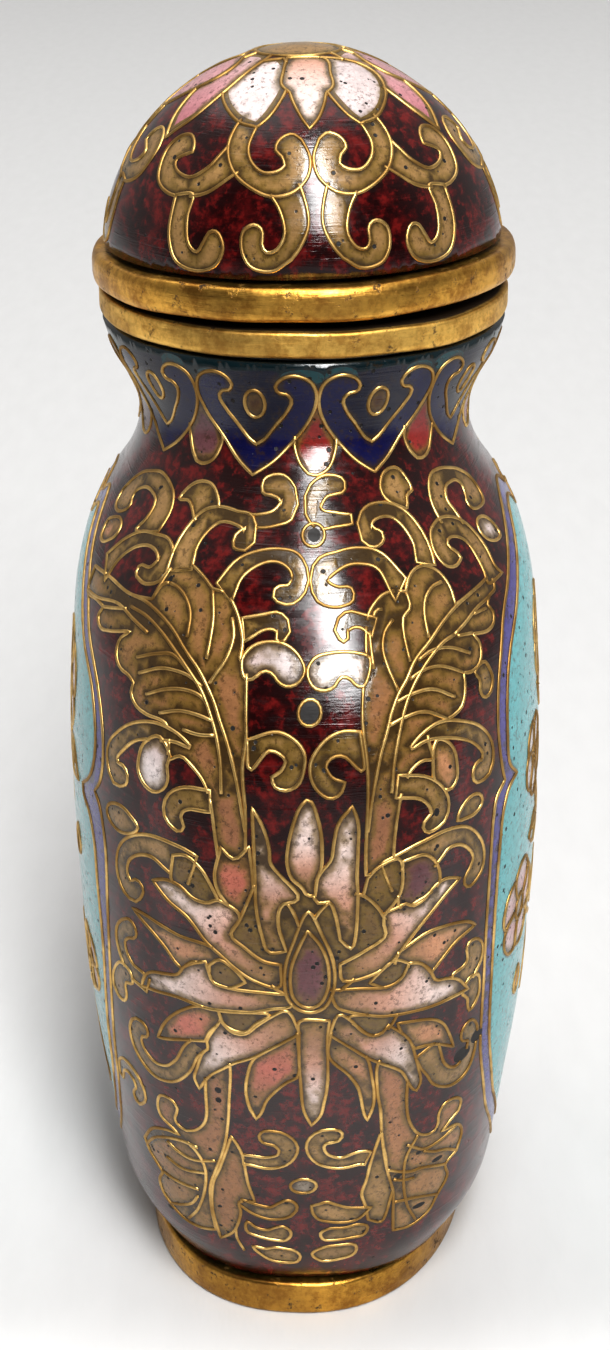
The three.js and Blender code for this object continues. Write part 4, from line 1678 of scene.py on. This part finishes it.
    def petals(self) -> None:
        """The petals, the ones behind first."""
        d = self.drawing
        d.cell(Tone.MAUVE, [(4.9, 34), (6.2, 34.1), (7, 33.2), (7.1, 32.2), (6.2, 31.5)], [(4.8, 31.2)])
        d.cell(Tone.OLIVE, [(3, 33.3), (3.6, 33.9), (4.7, 34.2), (4.9, 33.2), (4.8, 32.2), (4.4, 31.5),
                (3.6, 30.6)], [(2.2, 30.4)], [(2.7, 32)])
        d.cell(Tone.OLIVE, [(1, 32), (2.5, 32.4), (3.8, 31), (4.1, 29.4), (3.4, 28)],
               [(1, 26), (.2, 29), (.3, 31)])
        d.cell(Tone.PETAL, [(2.2, 37.5), (1.5, 36.6), (1.25, 35.5), (1.1, 34.5), (.6, 33.8), (.25, 33),
                (.2, 32.4), (.5, 31.9), (1, 32), (1.3, 31.3), (1.6, 29.6)],
               [(2.2, 29), (2.5, 32), (2.45, 33.5), (2.5, 35), (2.5, 36.6)], root=(1.9, 29.5),
               tip=(1.6, 34.6))
        d.cell(Tone.PEACH, [(10, 28.35), (9.4, 28.8), (8.5, 29.1), (7.4, 29.25), (6.4, 29.2), (4.8, 28.4)],
               [(4.6, 27.6), (5.4, 27.5), (6.1, 27.3), (6.9, 26.5)], [(7.7, 27.3), (8.5, 27.9)],
               root=(4.6, 28), tip=(9, 28.6))
        d.cell(Tone.PETAL, [(8.55, 31.95), (7.5, 32.25), (6.8, 32), (6.2, 31.4), (5.5, 31.15), (5.1, 31.4),
                (4.5, 31.2), (3.95, 31), (3.9, 30.3)], [(4, 29.6), (2.8, 28.7), (1.6, 28)],
               [(1.8, 26.9), (3.9, 27.4), (4.6, 28.1), (5.3, 29), (6, 29.8), (6.7, 30.5), (7.6, 31.3)],
               root=(2.4, 27.6), tip=(6.6, 31.2))
        d.cell(Tone.OLIVE, [(5.4, 27.5), (4.6, 27.9), (3.8, 27.3), (3.2, 26.6)], [(4.3, 26.1), (5.2, 26.4)])
        d.cell(Tone.OLIVE, [(4.9, 24.2), (4.5, 23.4), (3.9, 22.9), (3.3, 23), (2.8, 23.5), (2.1, 24.4)])
        d.cell(Tone.PEACH, [(9, 20.3), (8.5, 21.5), (8, 22.4), (7.3, 23), (6.4, 23.3), (4.9, 23.5)],
               [(5.3, 22.5), (6.1, 21.35)], [(7.2, 21.25), (8, 20.9)], root=(5.2, 23.2), tip=(8.8, 20.8))
        d.cell(Tone.PEACH, [(3.65, 16.35), (3.9, 17.5), (3.85, 18.6), (3.6, 19.8), (3.2, 21.4), (2.2, 22.5),
                (1.2, 23.4)], [(1.1, 21.6), (2.2, 20.2), (2.8, 19.2), (3.1, 18.2), (3.4, 16.9)],
               root=(1.4, 23), tip=(3.6, 17.2))
        d.cell(Tone.PETAL, [(6.6, 17.95), (6.3, 18.2), (5.9, 18.9), (5.4, 19.8), (4.8, 20.3), (4, 20.8),
                (3.3, 21.3), (2.5, 22), (1.1, 23.2)], [(1.6, 24.6), (2.2, 24.2), (2.9, 23.3), (3.5, 22.9),
                (4, 23), (4.4, 23.5)], [(5.5, 22.4), (5.9, 21.7), (6.2, 20.7), (6.5, 19.7), (6.8, 18.6)],
               root=(1.8, 24), tip=(5.2, 21))
        d.cell(Tone.PETAL, [(9.8, 24.1), (8.8, 25.2), (8, 25.6), (7.2, 25.8), (6.8, 26.5), (6.1, 27.3),
                (5.4, 27.5)], [(5, 26.6), (4.3, 26.2), (2.6, 26.3), (1.1, 26.3)],
               [(1.5, 25.1), (2.3, 24.7), (4, 24.2), (5.5, 24.1), (7, 24.05), (8.5, 24.1)], root=(1.4, 25.6),
               tip=(7.2, 25.4))


@dataclass
class LotusHeart:
    """What lies on the panel's middle line: the flower's heart and the rings, and all the pits.

    Attributes:
        drawing: The drawing.
        pits: Middle of each chipped pit, with its half width and half height.
    """

    drawing: Drawing
    pits: tuple[tuple[Point, Point], ...] = (
        ((9.9, 19.3), (.75, .52)), ((11.2, 20), (.62, .5)), ((-5.3, 18.5), (.22, .24)),
        ((-5.3, 17.7), (.2, .22)), ((8.5, 7.8), (.56, .22)), ((9.4, 11.3), (.5, .2)),
        ((6.3, 11.2), (.34, .16)), ((-10.4, 6.45), (.34, .18)), ((-5.2, 5.75), (.4, .16)),
        ((7.6, 12.6), (.22, .16)), ((-10.1, 47.6), (.2, .24)), ((6.9, 36.4), (.18, .24)))

    def behind(self) -> None:
        """The olive field that the petals stand on."""
        self.drawing.loop(Tone.OLIVE, [(-4.4, 28), (-3.4, 31), (-1.4, 33), (0, 33.4), (1.2, 33), (3.2, 31),
                           (4.4, 28), (4.2, 25.4), (2.4, 23.4), (.2, 22.8), (-2, 23.3), (-4, 25)],
                          wired=False)

    def draw(self) -> None:
        """Draw the middle petals, the drop at the heart, and the rings above and below."""
        d = self.drawing
        d.cell(Tone.PETAL, [(-.15, 37.9), (.1, 37.8), (.4, 37), (.6, 36), (.65, 35), (.6, 34), (.4, 33.4),
                (.3, 32.4)], [(-.1, 32.4), (-.4, 32.9), (-.9, 33.4), (-1.15, 34.3), (-1.1, 35.3),
                (-.85, 36.5), (-.5, 37.5)], root=(-.1, 32.6), tip=(-.2, 35.6))
        d.cell(Tone.PETAL, [(.3, 16.2), (.8, 17), (.95, 18), (1.05, 19), (1.05, 21), (1, 23), (1.1, 24.2)],
               [(-.5, 24.2), (-.55, 23), (-.55, 21), (-.45, 19.5), (-.2, 17.4)], root=(.3, 23.6),
               tip=(.3, 18.5))
        d.loop(Tone.OLIVE, [(-.05, 31.4), (-.85, 29.4), (-1.25, 27.9), (-1.3, 26.6), (-1.1, 25.6),
                (-.5, 24.95), (.15, 24.8), (.8, 25.1), (1.25, 26.1), (1.35, 27.3), (1.15, 28.6), (.7, 29.8)])
        d.cell(Tone.MAUVE, [(-.1, 30.2), (-.6, 29), (-.95, 27.8), (-1, 26.6), (-.85, 25.8), (-.4, 25.25),
                (.1, 25.1), (.6, 25.4), (.95, 26.2), (1.05, 27.2), (.9, 28.4), (.5, 29.4)])
        d.ring(Tone.BRONZE, (-.1, 50.2), (.85, .48))
        d.ring(Tone.PIT, (-.05, 50.2), (.5, .3), wired=False)
        d.ring(Tone.PIT, (0, 42.35), (.62, .66))
        d.ring(Tone.MIST, (0, 11.1), (.85, .6))
        for middle, half in self.pits:
            d.ring(Tone.PIT, middle, half, wired=False)


@dataclass
class NeckLappets:
    """The ring of navy lappets round the neck, with drops hanging between them."""

    drawing: Drawing
    pitch: float = 11.4

    def draw(self) -> None:
        """Draw the teal field, the drops and the lappets. The drawing repeats after five."""
        d = self.drawing
        hem = [(x, 54.3 + 0.55 * math.cos(TAU * x / self.pitch)) for x in np.linspace(-28.6, 28.6, 41)]
        d.cell(Tone.TEAL, hem, [(28.6, 59.5)], [(-28.6, 59.5)], wired=False, shade=1.0)
        for k in range(-3, 3):
            across = self.pitch * k
            self.patch(across)
            self.drop(across, Tone.RUBY if k >= 0 else Tone.MAUVE)
        for k in range(-3, 3):
            self.lappet(self.pitch * (k + 0.5))

    def patch(self, across: float) -> None:
        """A lighter patch of the field under the collar."""
        rng = self.drawing.rng
        for side in (-1, 1):
            middle = (across + side * rng.uniform(1.2, 2.2), rng.uniform(57.6, 58.1))
            half = (rng.uniform(1.2, 2.0), rng.uniform(.35, .6))
            self.drawing.ring(Tone.LAGOON, middle, half, wired=False)

    def drop(self, across: float, tone: Tone) -> None:
        """A drop that hangs where two lappets meet."""
        self.drawing.cell(tone, [(across, 57.2), (across - 1.3, 55.6), (across - 2, 54.2),
                                 (across - 1.5, 53.3), (across - .6, 52.75)],
                          [(across + .3, 52.7), (across + 1.5, 53.1), (across + 2.1, 54.2),
                           (across + 1.4, 55.6)])

    def lappet(self, middle: float) -> None:
        """One lappet: a navy band that curls in at both shoulders, teal inside, with a bronze ring."""
        d = self.drawing
        rise = ((-1.9, 53.3), (-3.5, 54.2), (-4.8, 55.2), (-5.5, 56.2), (-5.6, 56.9), (-5.2, 57.6),
                (-4.2, 58), (-3.2, 58.05), (-2.3, 57.75), (-1.95, 57.35), (-2.3, 57.05), (-3, 56.95),
                (-3.4, 56.6), (-3, 56), (-2, 55.2), (-.8, 54.3))
        left = [(middle + x, z) for x, z in rise]
        right = [(middle - x, z) for x, z in reversed(rise)]
        field_edge = [(-3, 56), (-3.4, 56.6), (-3, 57), (-2.2, 57.1), (-1.9, 57.6), (-2.4, 58.2)]
        inner = [(middle + x, z) for x, z in field_edge]
        d.cell(Tone.INK, [(middle, 54), *inner], [(middle - x, z) for x, z in reversed(field_edge)],
               wired=False)
        d.cell(Tone.NAVY, [(middle, 52.6), *left, (middle, 54)], right)
        d.ring(Tone.BRONZE, (middle, 56.35), (.95, .8))


@dataclass
class FlowerSpray:
    """The flowering branch on the sky-blue panel of a broad face."""

    drawing: Drawing

    def draw(self) -> None:
        """Draw the branch, its leaves, then its blossoms and buds."""
        d = self.drawing
        for knots in ([(37.4, 11.8, 1.9), (34.2, 14.6, 1.7), (31.4, 18.6, 1.5), (28.2, 21.4, 1.4),
                       (26.6, 25.4, 1.3), (28.0, 29.8, 1.1), (27.2, 34.2, 0.9), (24.2, 37.6, 0.8),
                       (23.2, 41.2, 0.6)],
                      [(28.6, 21.2, 1.1), (24.6, 21.6, 1.0), (21.0, 24.0, 0.9), (17.4, 25.2, 0.7)],
                      [(32.4, 17.2, 1.0), (35.4, 18.8, 0.9), (38.0, 21.2, 0.7)],
                      [(27.6, 29.0, 0.9), (31.4, 31.8, 0.8), (34.6, 35.4, 0.7), (35.0, 38.8, 0.5)],
                      [(26.9, 24.8, 0.8), (22.6, 28.8, 0.7), (19.4, 33.0, 0.5)]):
            d.ribbon(Tone.BRONZE, knots)
        for root, tip in (((24.5, 21.5), (21.6, 17.4)), ((22.0, 23.4), (22.8, 27.0)),
                          ((34.4, 35.0), (38.6, 33.8)), ((31.6, 32.0), (31.2, 27.6)),
                          ((25.0, 36.6), (20.6, 38.6)), ((35.2, 18.8), (34.2, 22.8)),
                          ((21.6, 29.8), (17.6, 30.2)), ((33.6, 15.2), (30.0, 12.4))):
            self.leaf(root, tip)
        for middle, size, tone in (((16.2, 26.4), 2.7, Tone.PINK), ((27.6, 26.4), 3.6, Tone.PINK),
                                   ((34.2, 38.8), 2.9, Tone.PINK), ((22.9, 41.0), 2.5, Tone.WHITE),
                                   ((18.8, 35.0), 2.2, Tone.WHITE), ((38.2, 21.6), 2.0, Tone.CORAL)):
            self.blossom(middle, size, tone)
        for middle in ((29.0, 41.6), (37.4, 29.4), (17.6, 20.4)):
            d.ring(Tone.CORAL, middle, (0.75, 0.95))

    def leaf(self, root: Point, tip: Point) -> None:
        """A pointed leaf with its vein."""
        base, end = np.array(root), np.array(tip)
        middle, side = (base + end) / 2, np.array([base[1] - end[1], end[0] - base[0]]) * 0.24
        self.drawing.cell(Tone.GREEN, [root, tuple(middle + side), tip], [tuple(middle - side)],
                          root=root, tip=tip)
        self.drawing.wire([root, tuple(base * 0.35 + end * 0.65)])

    def blossom(self, middle: Point, size: float, tone: Tone) -> None:
        """A round blossom of five petals about a small heart."""
        for turn in np.arange(5) * TAU / 5 + size:
            run = np.array([math.cos(turn), math.sin(turn)])
            side = np.array([-run[1], run[0]])
            spots = [(0.1, 0), (0.45, 0.42), (0.82, 0.52), (1.08, 0.22)]
            spots += [(along, -out) for along, out in spots[:0:-1]]
            petal = [tuple(np.array(middle) + size * (along * run + out * side)) for along, out in spots]
            self.drawing.loop(tone, petal, root=middle, tip=tuple(np.array(middle) + size * run))
        self.drawing.ring(Tone.SAND, middle, (size * 0.3, size * 0.3))


@dataclass
class BottlePattern:
    """All that is drawn on one half of the bottle, from broad face to broad face.

    Distances are in millimetres, across from the middle of the narrow face and up from the table.
    """

    drawing: Drawing

    def draw(self) -> None:
        """Draw the panels, then the lotus with its scrolls, then the lappets of the neck."""
        self.cartouche()
        left, heart, right = (part(self.drawing) for part in (LotusLeft, LotusHeart, LotusRight))
        left.draw()
        right.draw()
        heart.behind()
        left.petals()
        right.petals()
        heart.draw()
        NeckLappets(self.drawing).draw()
        FlowerSpray(self.drawing).draw()

    def cartouche(self) -> None:
        """The sky-blue panel of a broad face, in its violet border."""
        d = self.drawing
        d.cell(Tone.BAND, [(17.2, 10), (14.9, 12.5), (13.2, 15.5), (11.8, 19), (11.3, 24), (11.1, 28),
                (11.2, 32), (11.4, 34.5), (11.7, 35.5), (12.7, 36.2)],
               [(12.4, 37), (12.1, 39), (12.3, 41), (12.9, 43), (14, 44.7), (16, 46), (19, 47.5),
                (23.5, 48.9), (26.6, 49.0), (28.6, 48.1)], [(30.6, 48.9), (34, 47.6), (38, 45.2), (40, 43.4),
                (41.6, 42), (42.7, 40.5), (43.4, 38.8), (43.5, 37), (43.1, 35.8), (42.3, 34.9)],
               [(43, 34.3), (43.5, 33), (43.7, 31.5), (43.5, 28), (43.1, 24), (42.4, 19), (41.8, 15),
                (41, 12.5), (39.8, 10), (36.5, 7), (32.5, 5.6), (28.5, 5.3), (24.2, 5.6), (20.4, 7)])
        d.cell(Tone.TURQUOISE, [(18.2, 10.8), (15.9, 13.2), (14.2, 16), (12.8, 19.4), (12.2, 24), (12, 29),
                (12.2, 32.5), (12.6, 34.5), (13.3, 35.5), (14.4, 35.9)],
               [(13.3, 37), (13.2, 39), (13.5, 41), (14.3, 43), (16.5, 44.7), (19, 46.2), (23.4, 47.9),
                (26.7, 47.9), (28.6, 46.8)], [(30.4, 47.8), (33.6, 46.6), (37.1, 44.4), (39.4, 42.4),
                (41.4, 40.7), (42.2, 39), (42.4, 37.5), (41.9, 36), (41, 35), (39.9, 34.3)],
               [(40, 33.7), (41.2, 33), (41.9, 31.7), (42.1, 29), (42.2, 25), (41.4, 19.4), (40.9, 15.6),
                (40.1, 13.4), (38.8, 10.9), (35.9, 8.1), (32.3, 6.8), (28.5, 6.5), (24.5, 6.8), (21.1, 8.1)])


@dataclass
class LidPattern:
    """All that is drawn on the lid, as a disc seen from above with the camera's side below.

    The drawing repeats three times round the crown. Each third mirrors about its own middle.
    """

    drawing: Drawing
    middle: float = 4.0

    def draw(self) -> None:
        """Draw the ring of scrolls, then the crown's petals."""
        for third in range(3):
            for mirrored in (True, False):
                self.drawing.place = self.placing(third, mirrored)
                self.scrolls()
        for third in range(3):
            self.drawing.place = self.placing(third, False)
            self.far_petal()
            for mirrored in (True, False):
                self.drawing.place = self.placing(third, mirrored)
                self.near_petal(Tone.PINK if third else Tone.WHITE)
            self.drawing.place = self.placing(third, False)
            self.middle_petal()
        self.drawing.place = np.asarray
        self.drawing.ring(Tone.TAN, (0, 0), (2.4, 2.4))

    def placing(self, third: int, mirrored: bool) -> Callable[[np.ndarray], np.ndarray]:
        """Say where one third's drawing goes, for a drawing whose middle points to the camera.

        Args:
            third: Which third.
            mirrored: Whether it is the left half, drawn as the right one's mirror image.

        Returns:
            The function that places its points.
        """
        turn = math.radians(120 * third + (2 * self.middle if mirrored else 0))
        spin = np.array([[math.cos(turn), -math.sin(turn)], [math.sin(turn), math.cos(turn)]])
        flip = np.array([-1.0 if mirrored else 1.0, 1.0])
        return lambda points: (np.asarray(points) * flip) @ spin.T

    @staticmethod
    def polar(*points: Point) -> list[Point]:
        """Turn angles in degrees from the camera's side and ways from the crown into flat points."""
        return [(way * math.sin(math.radians(angle)), -way * math.cos(math.radians(angle)))
                for angle, way in points]

    def scrolls(self) -> None:
        """The right half's scrolls and hooks."""
        d, polar = self.drawing, self.polar
        d.cell(Tone.TAN, polar((28, 11.2), (38, 12.5), (50, 12.8), (58, 12.2), (61, 11), (61, 10.2),
                (58, 9.5), (53, 9.3), (49, 9.8), (48, 10.3)), polar((52, 10.6), (54, 10.9), (52, 11.4),
                (45, 11.7), (39, 11), (36, 10.2), (32, 9.4)))
        d.cell(Tone.TAN, polar((48.5, 12.75), (48.5, 13.2), (48, 15), (45, 16.2), (38, 16.6), (32, 16.2),
                (30, 15.3), (32, 14.5), (34.5, 14.5), (36, 15), (38, 15.6), (41, 15.2), (42.5, 13.8),
                (42, 12.65)))
        d.cell(Tone.TAN, polar((18, 12.2), (14, 13.3), (12.7, 14.5), (15, 15.3), (18, 15.4), (19, 15)),
               polar((19, 14.3), (21.5, 14), (24.5, 14.4), (24.5, 15.4), (22, 16.2), (16, 16.4), (11, 15.8)),
               polar((8.6, 15.2), (6, 14), (7.5, 12.3), (9, 11.8)))
        d.cell(Tone.TAN, polar((23, 7.6), (26, 9), (26.5, 9.8), (24.5, 10.6), (20, 11.2), (15, 11.1),
                (13, 10.8)), polar((14, 10.3), (16.5, 9.9), (15.5, 9.3), (11, 8.9), (7.2, 9.3)),
               polar((4.6, 10.4), (5.8, 11.5), (10.5, 12.3), (17, 12.5), (24, 12), (30, 11.2), (34, 10),
                (34.5, 9), (32, 7.9)))

    def far_petal(self) -> None:
        """The pink petal between two thirds."""
        d, polar = self.drawing, self.polar
        d.cell(Tone.OLIVE, polar((62, 9.8), (56, 8.3), (51, 6.4), (48, 4.2), (50, 2)),
               polar((80, 2), (80, 4.2), (76, 6.4), (70, 8.3)))
        d.cell(Tone.PINK, polar((62, 9), (57.5, 7.8), (53.5, 6.2), (52, 3)),
               polar((77, 3), (75, 6), (69.5, 7.8)), wired=False, root=polar((64, 9))[0],
               tip=polar((64, 2.5))[0])

    def near_petal(self, tone: Tone) -> None:
        """The right one of the two broad petals of a third."""
        d = self.drawing
        d.cell(Tone.OLIVE, [(3.6, -7.7), (2.8, -7.3), (1.9, -6.3), (1.3, -5.2), (1.0, -4.1), (1.15, -2.5)],
               [(3.4, -2.1), (4.5, -2.8), (5.0, -4.1), (4.95, -5.6), (4.5, -6.9)])
        d.cell(tone, [(3.6, -7.3), (3.0, -6.9), (2.2, -6.0), (1.65, -5.0), (1.35, -4.0), (1.6, -2.6)],
               [(3.2, -2.4), (4.2, -3.0), (4.65, -4.2), (4.6, -5.5), (4.2, -6.6)], wired=False)

    def middle_petal(self) -> None:
        """The small white petal in front, at the middle of a third."""
        d = self.drawing
        d.cell(Tone.PETAL, [(0.6, -8.6), (0.15, -7.9), (-0.3, -6.8), (-0.5, -6)],
               [(-0.95, -5.3), (-0.85, -4.2), (-0.6, -2.6)], [(1.5, -2.6), (1.8, -4.2), (1.95, -5.3),
                (1.55, -6)], [(1.45, -6.8), (1.1, -7.9)], root=(0.5, -1), tip=(0.6, -6))


# The picture


@dataclass
class Studio:
    """The floor, the lights and the camera of the photograph."""

    camera_at: Knot = (0.130, 0.0, 0.092)
    pitch: float = math.radians(23.4)
    roll: float = math.radians(-0.2)
    lens: float = 61.07
    lit: Knot = (0.0, 0.0, 0.035)
    gamma: float = 0.86

    def build(self) -> bpy.types.Object:
        """Set up the picture and return the floor."""
        self.light("strip", (1.14, 0.28, 1.44), (0.38, 1.55), 62.0)
        self.light("overhead", (-0.30, -0.10, 1.0), (0.9, 0.9), 4.0)
        self.sky()
        self.aim()
        bpy.context.scene.view_settings.view_transform = "Standard"
        bpy.context.scene.view_settings.gamma = self.gamma
        return self.floor()

    def light(self, name: str, at: Knot, size: Point, power: float) -> None:
        """Add a soft light that faces the bottle.

        Args:
            name: The light's name.
            at: Where it stands, in metres.
            size: Its width and height, in metres.
            power: Its power in watts.
        """
        lamp = bpy.data.lights.new(name, "AREA")
        lamp.shape, lamp.size, lamp.size_y, lamp.energy = "RECTANGLE", *size, power
        obj = bpy.data.objects.new(name, lamp)
        obj.location = at
        obj.rotation_euler = (Vector(self.lit) - Vector(at)).to_track_quat("-Z", "Y").to_euler()
        bpy.context.collection.objects.link(obj)

    def sky(self) -> None:
        """Fill the room with pale light, dim in front of the bottle and bright behind it."""
        world = bpy.data.worlds.new("room")
        world.use_nodes = True
        tree = world.node_tree
        place, parts, span = (tree.nodes.new("ShaderNode" + kind)
                              for kind in ("TexCoord", "SeparateXYZ", "MapRange"))
        span.inputs["From Min"].default_value, span.inputs["From Max"].default_value = -0.1, 0.5
        span.inputs["To Min"].default_value, span.inputs["To Max"].default_value = 0.46, 0.03
        tree.links.new(place.outputs["Generated"], parts.inputs[0])
        tree.links.new(parts.outputs["X"], span.inputs["Value"])
        tree.links.new(span.outputs[0], tree.nodes["Background"].inputs["Strength"])
        tree.nodes["Background"].inputs["Color"].default_value = (1.0, 0.98, 0.96, 1)
        bpy.context.scene.world = world

    def aim(self) -> None:
        """Place the camera, level but for a slight roll."""
        data = bpy.data.cameras.new("camera")
        data.sensor_fit, data.sensor_width, data.lens = "AUTO", 36.0, self.lens
        data.clip_start, data.clip_end = 0.01, 20
        camera = bpy.data.objects.new("camera", data)
        camera.location = self.camera_at
        ahead = Vector((-math.cos(self.pitch), 0, -math.sin(self.pitch)))
        camera.rotation_euler = (ahead.to_track_quat("-Z", "Y").to_matrix()
                                 @ Matrix.Rotation(self.roll, 3, "Z")).to_euler()
        bpy.context.collection.objects.link(camera)
        bpy.context.scene.camera = camera

    def floor(self) -> bpy.types.Object:
        """Lay the pale floor."""
        bm = bmesh.new()
        bmesh.ops.create_grid(bm, x_segments=1, y_segments=1, size=3)
        return mesh_object("floor", bm, PaleBoard().material())


def lean(points: np.ndarray) -> np.ndarray:
    """Shift the lotus panel's drawing by its slight lean up the bottle."""
    moved = np.array(points, float)
    moved[:, 0] += np.interp(moved[:, 1], [8, 20, 42, 57], [-0.35, 0.15, 0.22, 1.24])
    return moved


def own(obj: bpy.types.Object, node: Optional[str] = None) -> None:
    """Tie a piece to the body, and hide the CAD node that it stands for.

    Args:
        obj: The piece.
        node: The CAD node, if it stands for one.
    """
    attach(obj, "root")
    if node:
        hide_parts(node)


def main() -> None:
    """Build the bottle and its picture."""
    enamel = [CellEnamel().material(), GroundEnamel().material(), CounterEnamel().material()]
    gold = Gilt("wire_gilt", (0.76, 0.53, 0.21), (0.52, 0.33, 0.11), roughness=0.36, soil=0.12, relief=0.1,
                dullness=0.85).material()
    brass = Gilt("ring_gilt", (0.78, 0.45, 0.095), (0.40, 0.19, 0.034), roughness=0.30, soil=0.9).material()
    bright = Gilt("collar_gilt", (0.95, 0.62, 0.17), (0.56, 0.31, 0.07), roughness=0.42, soil=0.7).material()
    # The foot's gilt is a darker copy of the ring gilt: painted shade, for the shadowed floor that the foot
    # reflects.
    shaded_foot_gilt = Gilt("foot_gilt_painted_shade", (0.58, 0.32, 0.060), (0.30, 0.14, 0.026), soil=0.9).material()

    wall, neck, band = OvalWall(), NeckCollar(), LidBand()
    level = wall.lip[2] + JOINT
    seat = level + neck.height + LID_GAP + neck.seat * math.sin(DomeShell.tilt)
    dome = DomeShell(foot=band.height + JOINT, seat=seat)

    bottle = Drawing(period=2 * wall.quarter, place=lean)
    BottlePattern(bottle).draw()
    lid = Drawing()
    LidPattern(lid).draw()

    body, body_wires = BottleBody(wall, bottle).build(enamel, gold)
    shell, lid_wires = LidDome(dome, lid).build(enamel, gold)
    collar = neck.ring(level).build(bright)
    rim = band.ring(dome).build(brass)
    foot = FootRing().build(shaded_foot_gilt)

    own(body, "bottle_body")
    own(shell, "lid_dome")
    own(body_wires)
    own(lid_wires)
    own(collar, "neck_collar")
    own(rim, "lid_rim")
    own(foot, "foot_ring")
    Studio().build()


if __name__ == "__main__":
    main()
